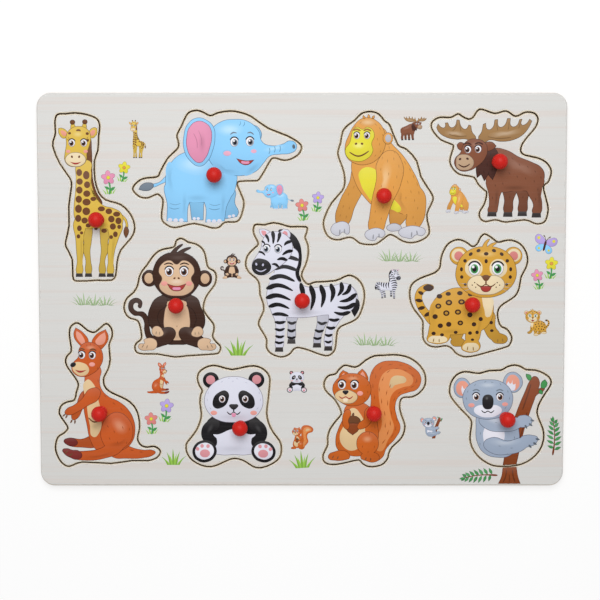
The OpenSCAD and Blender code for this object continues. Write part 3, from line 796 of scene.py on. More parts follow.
def elephant(p):
    """A blue elephant in a walk, its trunk held out in front."""
    p.lined("sky", limb("20.5 29 1.1, 15.5 25.4 .8, 10.5 23.6 .7"))
    p.lined("slate", path("11.8 24.6, 8.6 25.8, 5 24.6, 3.2 21.8!, 6.6 21, 10.4 21.8"))
    p.lined("sky", path("64 57, 68.4 58.2, 72.2 55.6, 73 51.4, 70 47.8, 65 47"), tone=0.85)
    p.fill("rose", path("66 55.6, 68.8 56, 70.8 54, 71 51.6, 69 49.6, 66 50"), tone=0.9)
    p.lined("sky", *paths("33 22, 32.6 10, 33.2 4.6!, 40 4.4!, 40.2 12, 40 22",
                          "50 22, 51.6 12, 51.6 5.6, 53.2 5.2!, 59 6.4!, 60 9, 58 14, 57.6 22"), tone=0.82)
    p.lined("sky", *paths("23 38.6, 29 42.6, 40 44, 52 40, 58.6 32, 58.6 24, 55.6 17.6, 46 15, 34 14.6,"
                          "24 15.4, 19.4 21.4, 19 31.4",
                          "19.6 26, 19.4 12, 19 4!, 31 3.4!, 31.2 11, 33 21",
                          "40.4 22, 41.4 10, 41 3.2!, 52 3.9!, 53 11, 55.4 22"))
    p.soft("sky", 0.84, oval(36.4, 17, 8, 2.4),
           *limbs("29.4 20 1.2, 29.2 12 1, 29 6 .9", "51.6 20 1.2, 51 12 1, 50.6 6 .9",
                  "21 36 1.4, 20.6 28 1.6, 22 20 1.2"))
    p.fill("sky", *limbs("20.6 11.6 .1, 23.4 10.8 .22, 26.4 11.4 .1", "21 14 .1, 24 13.2 .2, 27 14 .1",
                         "43 11.2 .1, 46 10.4 .22, 49.2 11 .1", "43.4 13.6 .1, 46.4 12.8 .2, 49.6 13.6 .1"),
           tone=0.6)
    p.soft("sky", 1.45, path("24 37, 32 41, 44 40, 44 33, 30 31"))
    p.fill("white", *ovals(
        "21 4.6 1.3 1.1, 24.2 4.4 1.3 1.1, 27.4 4.4 1.3 1.1, 43 4 1.2 1, 46 3.8 1.3 1.1, 49 4 1.3 1.1,"
        "34.8 5.4 .9 .8, 37 5.4 .9 .8, 54.8 6.6 1 .8, 57 7 .9 .8"))
    p.lined("sky", path(
        "57 61.4, 65 60.4, 71.4 55, 73.6 48.6, 79 46.6, 85 47.6, 89 49.4, 92.4 48, 92.6 44.4, 89.4 42.2,"
        "83.4 41.6, 77.8 40.6, 74 36.4, 70.4 32.4, 64 29.8, 55.6 30, 47.4 33.6, 42.6 40, 41.6 48, 44.4 55.4,"
        "50.4 60.2"))
    p.soft("sky", 0.82, oval(68, 33.6, 6, 2, 38))
    p.soft("sky", 1.5, oval(55, 55.6, 8.4, 4))
    p.soft("sky", 1.4, limb("74.6 44 1.1, 80 45 1.2, 86 46 1"))
    p.soft("sky", 0.84, limb("46 36.4 1, 52 32.4 1.3, 60 31.2 1.2"))
    p.fill("sky", *limbs("60.4 57.8 .1, 61.2 59 .2, 61 60.2 .1", "62.6 57.4 .1, 63.4 58.6 .2, 63.4 59.8 .1"),
           tone=0.6)
    for x, y in ((77.6, 43.6), (80.6, 44.4), (83.6, 44.8)):
        p.fill("sky", limb(f"{x - .4} {y - 1.6} .16, {x + .1} {y} .2, {x - .2} {y + 1.6} .16"), tone=0.55)
    p.fill("slate", oval(91.2, 46, 0.8, 1.3, 10), tone=0.6)
    p.lined("sky", path(
        "42.6 60.6, 36.6 62.2, 31.2 58.6, 29 52, 29 44.6, 32.4 38, 38 34.8, 42.4 37.6, 45.4 43.6, 46.8 50.6,"
        "46 57"))
    p.lined("rose", path(
        "42 59, 37 60.4, 32.4 57.2, 30.6 51.4, 30.8 45, 33.6 39.4, 38 36.8, 41.4 39.6, 43.8 45.2, 45 51.4,"
        "44.4 56"))
    p.soft("rose", 0.78, oval(39.4, 48, 2.6, 7))
    p.fill("rose", *limbs("34.6 53.4 .1, 36.4 49.4 .25, 36.6 45 .1", "37.4 55 .1, 39 50.6 .22, 39.2 46.6 .1"),
           tone=0.72)
    eyes(p, 2.3, (57.6, 48.6), (66.4, 48.8), look=(0.15, -0.1), iris="slate")
    p.fill("slate", *limbs("55.4 52.8 .15, 57 53.9 .4, 59 53.6 .15",
                           "65 53.6 .15, 66.8 54 .4, 68.6 52.8 .15"))
    p.soft("sky", 1.0, oval(53.4, 42.4, 2.6, 1.8))
    p.fill("rose", oval(53.6, 42.2, 2.2, 1.4), oval(68.6, 43.4, 1.6, 1.1), tone=1.3)
    p.lined("mouth", path("58.6 39.4!, 61.6 36.2, 65.6 35.8, 69 38.6!, 64 38.2"))
    p.fill("rose", path("61.4 37.4, 63.6 36.2, 66.2 37.2, 63.8 37.6"))


def gorilla(p):
    """A shaggy ape on its knuckles, with a pale face and belly."""
    p.lined("amber", limb("23 42 6, 18.8 33 4.8, 13.6 23 4.7, 10.4 12.6 3.8"), tone=0.84)
    p.lined("ash", path("6.6 12.2, 13.6 12.4, 15 8.6, 14 5.8, 11 7, 8.6 5, 6 5.6, 4.2 7.6, 4.6 10.4"))
    p.lined("amber", limb("44 22 6, 41.4 14.4 4.4, 40.2 11.4 2.8"), tone=0.8)
    p.lined("ash", path("36.6 11, 43.4 11.2, 44.4 8.8, 41 7.6, 37.4 7.8, 35.8 9.2"), tone=0.9)
    p.lined("amber", path("33 66, 38 58, 45.4 50, 50.6 42, 54.4 34, 56.4 26, 53.6 18.4, 46 17, 38 20.4,"
                          "30 21, 23 27, 17.6 36, 15.8 46, 20 56"),
            limb("48.6 28 8, 52.6 19.6 5.6, 50.6 10.6 3.9"))
    p.lined("ash", path("46.2 10, 54.6 10.2, 58 8, 56.2 5, 52.6 5.4, 50 3.4, 46.8 3.8, 44 4.8, 42.6 7.2"))
    p.soft("amber", 0.82, path("41 30, 43 22, 47 17, 44 26, 43 33"))
    p.fill("lemon", path("20.6 41.6, 27.6 43.4, 32.4 37, 32 28, 28.6 24.6, 24.4 28.4, 21 34.8"))
    p.fill("lemon", path("37.4 26, 41.6 24, 43.6 18.8, 39 19.8, 36.6 20.8"))
    p.lined("amber", limb("37.6 46 7.4, 37 36 7.2, 33.4 25 6, 31 15 5, 29.6 8.6 4.2"))
    p.soft("amber", 1.45, limb("36 45 2.6, 35.4 36 2.4, 32.4 27 1.6"))
    p.lined("ash", path("24.8 8, 34 8.4, 35.1 6, 33.3 4, 31 4.4, 29.4 2.4, 26.6 2.4, 24.4 3.6, 23.4 5.8"))
    p.fill("amber", *hairs(
        "36.8 56 2.6 290, 39.6 53.6 2.8 292, 42.4 50.8 2.8 296, 45.6 47.4 2.8 298, 48.4 43.6 2.8 296,"
        "50.6 39.6 2.6 292, 52.8 35.4 2.6 286, 54 30.6 2.6 276, 47.4 36.4 2.2 290, 44.8 41 2.2 292,"
        "49.4 31 2.2 282, 51.6 26 2.2 276, 46.8 27.4 2 270, 53.6 21.6 2 262, 51 16.4 2 262, 52.4 13 1.8 262",
        0.42), tone=0.62)
    p.fill("amber", *hairs(
        "33.4 50 2.4 262, 36.4 48.4 2.4 266, 39.8 49.6 2.4 272, 42.6 45.4 2.4 276, 32.6 43.6 2.2 262,"
        "41.6 39.4 2.4 268, 37 41 2.2 268, 39.8 33.4 2.2 262, 33 34 2.2 258, 36.4 30 2.2 256,"
        "31.4 26.4 2 256, 34 22 2 258, 29.6 19.6 2 258, 33 15.6 2 260, 29.4 13.4 1.8 262, 14.6 29.4 2 248,"
        "17.6 33.6 2.2 250, 11.6 22.6 2 252, 15 21.6 2 252, 9.8 17.4 1.8 254, 13.2 16.6 1.8 256", 0.42),
           tone=0.62)
    p.fill("ash", *limbs("28.2 3.2 .2, 28.4 5.6 .2", "31.6 4 .2, 31.6 6.2 .2", "9.2 6 .2, 9.4 8.4 .2",
                         "12 6.6 .2, 12 8.8 .2", "50 4.4 .2, 50.2 7 .2", "53.4 5.6 .2, 53 7.8 .2"), tone=0.5)
    p.lined("amber", path(
        "25.4 71.8, 30 70, 33.6 66, 35.2 60.4, 34.4 53.6, 30.8 48.4, 24.4 45.2, 17.4 46, 12.8 50, 12.2 56,"
        "14.2 61.8, 17 67, 20.8 70.8"))
    p.lined("amber", oval(36.4, 60, 2.9, 3.4))
    p.fill("ash", oval(36.6, 60, 1.7, 2.2), tone=0.8)
    p.soft("amber", 1.5, oval(25, 69, 5, 2.2))
    p.lined("amber", leaf(23.4, 70.8, 2.6, 1.5, 118), leaf(25.6, 71.2, 2.5, 1.6, 92),
            leaf(27.6, 70.8, 2.6, 1.5, 62))
    p.fill("amber", *hairs(
        "31.4 66.4 2.2 300, 33.2 62.6 2 290, 31.8 57.6 2 262, 32.6 53.6 2 250, 29.8 51 1.8 236,"
        "28.8 68.6 2.2 312, 21.6 69.6 2 232, 18.4 67.4 1.8 238, 30.4 60.4 1.8 278", 0.42), tone=0.62)
    p.lined("lemon", path(
        "15.8 61.8, 16.8 65.2, 19.4 66.4, 22 65.2, 24.8 66.4, 28 64.6, 28.8 61, 27.4 57.4, 28 52.6,"
        "24.4 48.2, 18.6 47, 13.6 49.2, 12.2 53.4, 14.8 57.8"))
    p.soft("lemon", 1.5, oval(19.8, 56, 4, 2.2))
    p.fill("umber", *ovals("18.4 57 .75 .6 20, 21.8 57 .75 .6 -20"))
    p.fill("umber", limb("14.8 52.2 .2, 19.8 50 .42, 25.6 52.8 .2"))
    eyes(p, 1.75, (18.8, 61.6), (24.6, 61.6), look=(-0.1, -0.1))
    p.fill("amber", *limbs("16.8 64.6 .3, 18.8 65.1 .5, 20.8 64.4 .3",
                           "22.8 64.4 .3, 24.8 65.1 .5, 26.8 64.2 .3"), tone=0.5)


def moose(p):
    """A moose with broad antlers, its head turned to the viewer."""
    p.lined("antler", *paths("23.4 45.6, 20 47.6, 14 47.6, 8 49, 4 52, 2.9 54.4!, 3.8 56.6!, 6.2 54.4,"
                             "7.6 54.6, 7.8 57!, 9.4 57.2!, 11 54.6, 13 55, 14.4 58.8!, 16 58.6!, 17.2 54.8,"
                             "19.4 53.6, 21.2 56!, 22.6 55.4!, 23.2 52, 25.4 48.4",
                             "29 45.4, 33 47.2, 39.4 46.4, 46 47.2, 51.6 50, 55.4 54.6, 57 58!, 55.6 59.2!,"
                             "53 56.2, 51.2 56, 51.4 59.2!, 49.8 59!, 48 55.4, 45.4 55.2, 44.8 59.6!,"
                             "43 59.6!, 41 55.4, 38.6 54.8, 37.6 59!, 35.8 58.8!, 34.4 54.2, 32 53.4,"
                             "30.8 57!, 29.2 56.2!, 28.4 52, 26.6 48.4"))
    p.soft("antler", 1.4, *paths("7 51.4, 14 50, 20 50, 18 51.8, 12 52.6",
                                 "32 49.8, 40 49, 47 50, 51.6 52.8, 44 52.6, 36 52"))
    p.fill("antler", *limbs("10 50.6 .1, 14.6 49.4 .22, 20 49.6 .1", "12 52.4 .1, 13.6 54 .18, 14.7 56.4 .08",
                            "16.8 52.2 .1, 16.4 54.2 .18, 16 56.8 .08", "32 49.2 .1, 38 48.2 .22, 45 48.8 .1",
                            "43.4 53 .1, 43.8 55 .18, 43.8 57.6 .08",
                            "37.6 52.6 .1, 37.2 54.6 .18, 36.8 57 .08",
                            "49.4 54 .1, 50 55.8 .18, 50.4 57.8 .08"), tone=0.6)
    p.lined("chestnut", *limbs("44.8 21 4, 44.2 13 2.6, 43.8 7 2.5", "52 22 4, 52.4 13 2.6, 52 7 2.5"),
            tone=0.75)
    p.lined("chestnut", path("29 41, 35 43, 43 41.6, 50 37.8, 57 35, 62.4 32, 64.4 28, 62.8 22.4, 57 18.8,"
                             "49 18.8, 41 17.8, 35 19, 31.4 24, 29 32"),
            *limbs("37 25 5.6, 36 16 3.3, 35.6 10 2.7, 34.8 7 2.7",
                   "58.2 25 6, 58.8 17 3.6, 60.6 11 2.6, 60 6.6 2.6"))
    p.soft("chestnut", 1.14, path("40 39, 50 35, 60 31, 61 27, 50 29, 42 32"))
    p.soft("chestnut", 0.7, oval(47.4, 20.4, 9, 1.8),
           *limbs("37.6 20 1.2, 37.2 14 .9, 36.8 8 .8", "61.4 22 1.2, 61.4 14 .9, 62 8 .8"))
    p.fill("chestnut", *hairs(
        "41.6 35 2 300, 45.4 37.6 2 312, 49.6 34.2 2 300, 54.2 33 2 306, 58.6 30.4 2 296, 44 29.6 2 288,"
        "48.6 27.6 2 286, 53.4 26.6 2 284, 58.4 25 2 276, 40.6 23.6 2 280, 36.4 22.6 2 272, 60.6 20.4 2 270,"
        "35 15.6 1.8 268, 59.4 14.8 1.8 274, 44.8 16 1.8 268, 52.2 16 1.8 270, 62.2 27 1.8 276", 0.4),
           tone=0.5)
    p.fill("hoof", *(path(f"{x - 2.4} {y + 2.6}!, {x - 2.8} {y}!, {x + 2.6} {y}!, {x + 2.4} {y + 2.6}!")
                     for x, y in ((34.8, 4.2), (43.8, 4), (52, 4.4), (60, 3.6))))
    p.lined("mane", path(
        "27 41, 31 45, 36.4 42.6, 38.4 36, 37 29.6, 35 24.8!, 32.4 27.6!, 30.2 24!, 28.4 27.8!, 26 25.8!,"
        "25.4 31, 26 36"))
    p.fill("mane", *hairs(
        "30 40 2.6 292, 33.4 40.6 2.6 284, 35.8 37 2.6 270, 28.4 35.4 2.4 282, 31.6 34.8 2.6 278,"
        "34.6 31.6 2.4 268, 30 30.4 2.2 272, 27.4 30 2 268, 32.6 29.4 2 268", 0.45), tone=0.45)
    p.lined("chestnut", *paths("19.6 44, 16.4 46.2, 14.4 44.6!, 15.6 42, 18.6 41.6",
                               "30 45, 34 46.4, 37 44!, 34.8 41.8, 31 41.4"))
    p.lined("chestnut", path(
        "25.6 48, 30.4 46, 32 41.6, 30.4 36.6, 26.4 32.6, 21.6 30, 16.4 30, 13.4 33, 13.6 37, 16.6 40.4,"
        "18 44.4, 21 47.4"))
    p.soft("chestnut", 1.22, oval(25.4, 44.8, 3.4, 1.8))
    p.lined("tan", path("14 34.6, 14.8 38.2, 18.4 39.4, 22.6 38, 24.4 34.6, 22.6 31.2, 18.4 30.2, 14.8 31.4"),
            tone=0.72)
    p.fill("mane", *ovals("16.4 36.6 .8 .6 30, 20.6 36.8 .8 .6 -30"))
    p.fill("mane", limb("15.6 33.6 .18, 18.6 32.2 .38, 22 33.8 .18"))
    eyes(p, 1.9, (20.8, 42), (26.6, 42.2), look=(-0.15, -0.1))
    p.fill("mane", *limbs("18.2 45 .25, 20.6 45.6 .45, 22.6 44.8 .25",
                          "24.8 45 .25, 27 45.8 .45, 29.2 45 .25"))


def monkey(p):
    """A monkey sitting with its feet apart and its tail curled up."""
    p.lined("cocoa", limb(
        "20 9 2.2, 14.8 11 1.9, 13 15.4 1.7, 12.8 20.4 1.6, 10.4 24.4 1.6, 6 25.2 1.5, 3.8 28.4 1.5,"
        "5.4 32 1.5, 8.8 31.6 1.4, 9 29 1.2"))
    p.lined("cocoa", *ovals("14.6 45 4.4 4.8, 45.8 44.8 4.4 4.8"))
    p.fill("tan", *ovals("14.2 45 2.5 3, 46.2 44.8 2.5 3"), tone=0.94)
    p.lined("cocoa", path("20 34, 18.4 24, 19 14, 23 8, 30 7, 37 8, 41 14, 41.4 24, 40 34, 30 38"))
    p.lined("tan",
            path("30 33, 25 30.4, 22.6 23, 23 15.6, 26 10.4, 30 9.4, 34 10.4, 37 15.6, 37.4 23, 35 30.4"))
    p.soft("tan", 0.84, oval(30, 30.6, 6, 2), oval(30, 11.6, 5, 1.6))
    p.fill("tan", limb("29.6 18 .1, 30 17.4 .25, 30.4 18 .1"), tone=0.6)
    p.lined("cocoa", *limbs("25 13 4.6, 19.4 9.6 4, 15.4 7.4 2.6", "35.4 13 4.6, 41 9.6 4, 45 7.4 2.6"))
    p.soft("cocoa", 1.12, *limbs("24 15 1.6, 19.6 11.8 1.4", "36.4 15 1.6, 41 11.8 1.4"))
    p.lined("tan", *paths("18.6 8.6, 17.6 4.6, 13.4 3.8, 9.4 4, 7.8 5.8, 8.8 7.6, 11.4 8, 11 9.6, 13 10.8,"
                          "16.6 10.6",
                          "41.8 8.6, 42.8 4.6, 47 3.8, 51 4, 52.4 5.6, 51.6 7.6, 49 8, 49.4 9.6, 47.4 10.8,"
                          "43.8 10.6"))
    p.lined("cocoa", *limbs("21.6 32 3.4, 17.4 27 3, 16.4 21.4 2.8, 18.4 16.6 2.5",
                            "38.6 32 3.4, 41.6 27.6 2.5, 43.6 21.8 2.6, 42.2 16.4 2.5"))
    p.lined("tan", *paths("16.2 16.6, 15.8 13.6, 17.8 11.8, 20.4 11.6, 22.4 13, 21.8 15.4, 20.4 17.2,"
                          "18.2 17.8",
                          "44.4 16.4, 45 13.4, 43 11.6, 40.4 11.4, 38.2 12.8, 38.8 15.2, 40.2 17, 42.4 17.6"))
    p.fill("tan", *limbs("18 13 .16, 18.4 14.6 .16", "20 12.8 .16, 20.2 14.4 .16",
                         "40.4 12.6 .16, 40.4 14.2 .16", "42.6 12.8 .16, 42.4 14.4 .16",
                         "10 5.4 .16, 11 7 .16", "12.6 5 .16, 13.2 6.6 .16", "50.4 5.4 .16, 49.4 7 .16",
                         "47.8 5 .16, 47.2 6.6 .16"), tone=0.5)
    p.lined("cocoa", *limbs("28 57 2, 29.4 61 1.2, 33.4 64.2 .4", "31 57 2, 33.6 60.4 1.2, 38 62.4 .4"),
            path("30 59.8, 38 58, 43 51.8, 43.4 44, 40 37.4, 35 34, 30 33.2, 25 34, 20 37.4, 16.6 44,"
                 "17.2 51.8, 22 58"))
    p.soft("cocoa", 1.1, oval(31, 56.6, 6, 1.8))
    p.fill("cocoa", *hairs(
        "22 56 2 128, 19.6 53.4 2 146, 38.2 56 2 52, 40.6 53.4 2 34, 18.6 41.6 2 214, 41.4 41.6 2 326,"
        "26 58 2 112, 34.8 58 2 66", 0.4), tone=0.5)
    p.lined("tan", path(
        "30 53, 33.6 55.2, 38.2 53.4, 40.2 48.8, 38.4 44.8, 40 40.4, 37 36.4, 30 34.8, 23 36.4, 20 40.4,"
        "21.6 44.8, 19.8 48.8, 21.8 53.4, 26.4 55.2"))
    p.soft("tan", 1.4, oval(30, 43, 5.6, 2))
    p.fill("blush", *ovals("23 42 1.9 1.3, 37 42 1.9 1.3"))
    p.fill("umber", *ovals("28.8 45 .7 .5 30, 31.2 45 .7 .5 -30"))
    p.lined("mouth", path("24.4 42!, 27 38.4, 30 37.6, 33 38.4, 35.6 42!, 30 40.6"))
    p.fill("rose", path("27.6 39.2, 30 38.2, 32.4 39.2, 30 39.8"))
    eyes(p, 2.5, (25.8, 48.8), (34.2, 48.8), look=(0, -0.05))
    p.fill("cocoa", *limbs("23 52.8 .2, 25.6 53.6 .4, 28 52.8 .2", "32 52.8 .2, 34.4 53.6 .4, 37 52.8 .2"))


def zebra(p):
    """A striped zebra, its head turned to the viewer."""
    p.lined("white", limb("57 40 1.6, 61 38.2 1.3, 62.8 34 1.1, 62.4 30.6 1"))
    p.lined("black", path("60.8 33.4, 63.6 33.2, 64.9 29.6, 63.8 25.8, 62 22.9!, 60.4 25.6, 59.4 29.6"))
    p.lined("black",
            limb("20 71.4 1.6, 25 69.2 1.9, 28.4 65 2, 29.8 59 2, 29.8 53 1.8, 29 47.6 1.4, 31 43.4 .6"))
    p.lined("white", *limbs("26.4 27 3.6, 26.2 18 2.3, 26 10.4 2",
                            "45.4 27 4.2, 42.8 18 2.5, 41 12 2.1, 40.6 8 2"), tone=0.72)
    p.fill("black", *limbs("24.2 20 .5, 26.2 19.2 .8, 28.4 20 .5", "24 15.6 .5, 26 14.8 .8, 28 15.6 .5",
                           "24 11.4 .5, 26 10.8 .7, 28 11.4 .5", "41.2 20 .5, 43.2 19 .8, 45.8 19.8 .5",
                           "39.6 15.4 .5, 41.8 14.6 .8, 44 15.2 .5", "38.8 11 .5, 40.8 10.4 .7, 42.8 11 .5"))
    p.lined("white", path("15.6 47, 17 54, 20 62, 29 61, 30 54, 28.4 47.6, 31 42.4, 36 40, 43 40.2, 50 41,"
                          "57 42.2, 61.8 38.6, 62.8 32.6, 60 26.4, 54 23, 46 24, 37 22.8, 28 22.4, 19.6 23.6,"
                          "13.6 27.6, 11.8 33.6, 12.6 40.4"),
            *limbs("19.4 29 5.2, 19.6 20 3, 19.4 12 2.3, 19 5.6 2.2",
                   "52.4 30 6.2, 50.2 21 3.2, 47.4 14 2.2, 47 6.4 2.1"))
    p.soft("white", 0.82, oval(34, 25.4, 13, 2))
    p.soft("white", 0.86, *limbs("21.8 26 1, 21.4 18 .9, 20.8 9 .7", "54.6 27 1.3, 50.8 20 1, 47.9 12.6 .8",
                                 "15.6 47 1, 14.6 39 1.2, 14.6 31 1.2"))
    p.fill("black", *limbs("31.4 41.6 .9, 32.6 35 1.2, 31 27.6 .3", "37 40.2 1, 38.6 34 1.3, 37 27 .3",
                           "42.8 40.4 1, 44.4 34.6 1.3, 43 28.6 .3", "48.6 41 1, 49.8 36.6 1.3, 48.4 31.6 .3",
                           "54.4 42 .9, 54.6 38.4 1.2, 52.4 35 .3", "59.4 41 .8, 58 37.4 1.1, 55 35.6 .3",
                           "62.6 35.8 .8, 58 32.6 1.1, 53.6 31.8 .3",
                           "62 30.4 .8, 57.4 28.2 1.1, 52.4 28.6 .3", "59 25.6 .7, 54.6 24.6 1, 50.4 25.6 .3",
                           "53 21.6 .5, 50.4 21 .9, 47.4 21.6 .4", "50.6 17 .5, 48.5 16.4 .9, 46 17.2 .4",
                           "49 12.8 .5, 47.2 12.2 .8, 45.2 12.8 .4", "48.6 9 .5, 47 8.4 .7, 45.2 9 .4",
                           "12.4 39.4 .9, 18.6 41 1.2, 26.6 38 .3", "12.2 34 .9, 18 35.2 1.2, 25.4 32.6 .3",
                           "13.6 29 .8, 18.4 30 1.1, 24.6 27.8 .3", "14 44.8 .8, 20 46.2 1.2, 27.6 43.4 .4",
                           "16.2 50.4 .7, 22 51.6 1.1, 29 49.6 .6", "18.6 56 .6, 24 57 1.1, 30 55.4 .6",
                           "15.4 24.4 .5, 19.6 24.6 1, 24 23.6 .4", "16.8 20 .5, 19.6 19.6 .9, 22.4 20.2 .4",
                           "16.9 16 .5, 19.4 15.4 .8, 21.9 16.2 .4", "17.1 12 .5, 19.4 11.4 .8, 21.6 12 .4",
                           "16.9 8.6 .5, 19.1 8 .7, 21.3 8.6 .4"))
    p.fill("hoof", *(path(f"{x - 2.1} {y + 2.6}!, {x - 2.5} {y}!, {x + 2.3} {y}!, {x + 2.1} {y + 2.6}!")
                     for x, y in ((19, 3), (26, 7.6), (40.6, 5.4), (47, 3.6))))
    p.lined("white", *paths("10.6 68, 7.8 70.8, 7.6 73!, 11.4 72.8, 14.4 70",
                            "19 70, 21.4 73.2!, 24.8 72, 24.6 67.6"))
    p.fill("pink", *paths("10.6 69.2, 9 71, 9 72.2!, 11.6 71.4", "20.6 70, 22 72!, 23.6 71, 23.4 69"))
    p.lined("white", path(
        "15.6 71.6, 21.6 70.4, 25.8 66.4, 26.6 60.6, 23.4 55, 17.6 50.6, 10.6 46.8, 5.4 48, 3.4 52.4,"
        "5.6 57.2, 8.4 61.6, 9.6 66.8, 12 70.2"))
    p.fill("black", *limbs("15.4 71 .9, 15.8 67.6 .8, 15.6 64.8 .3", "11.6 69.4 .7, 12.8 67.2 .6, 13 65.6 .3",
                           "19.4 70.4 .9, 18.8 67.6 .7, 18 65.6 .3", "25.6 66 .7, 23 65 .8, 22 63.8 .3",
                           "26.2 60.6 .7, 23.4 60 .9, 21 58.4 .3", "23.2 55.4 .6, 20.4 56.2 .9, 18 55.6 .3",
                           "9.4 66 .5, 10.6 65 .4, 10.8 64 .2", "18.6 51.6 .5, 16.6 53 .7, 14.8 53 .2",
                           "7.6 60 .4, 9.4 59.6 .6, 11 58 .2"))
    p.lined("black", path("9.6 56, 13.4 54, 14.4 50.6, 11 47.2, 6.8 47, 3.9 49.4, 3.7 53, 5.6 55.8"),
            tone=1.04)
    p.fill("dusk", *ovals("6 53 .55 .8 20, 9.8 52.6 .55 .8 -20"))
    p.fill("dusk", limb("5.8 50 .15, 8.6 48.9 .35, 11.6 50.2 .15"))
    eyes(p, 2.1, (11.8, 61.8), (18.4, 61.6), look=(-0.1, -0.1), iris="slate")


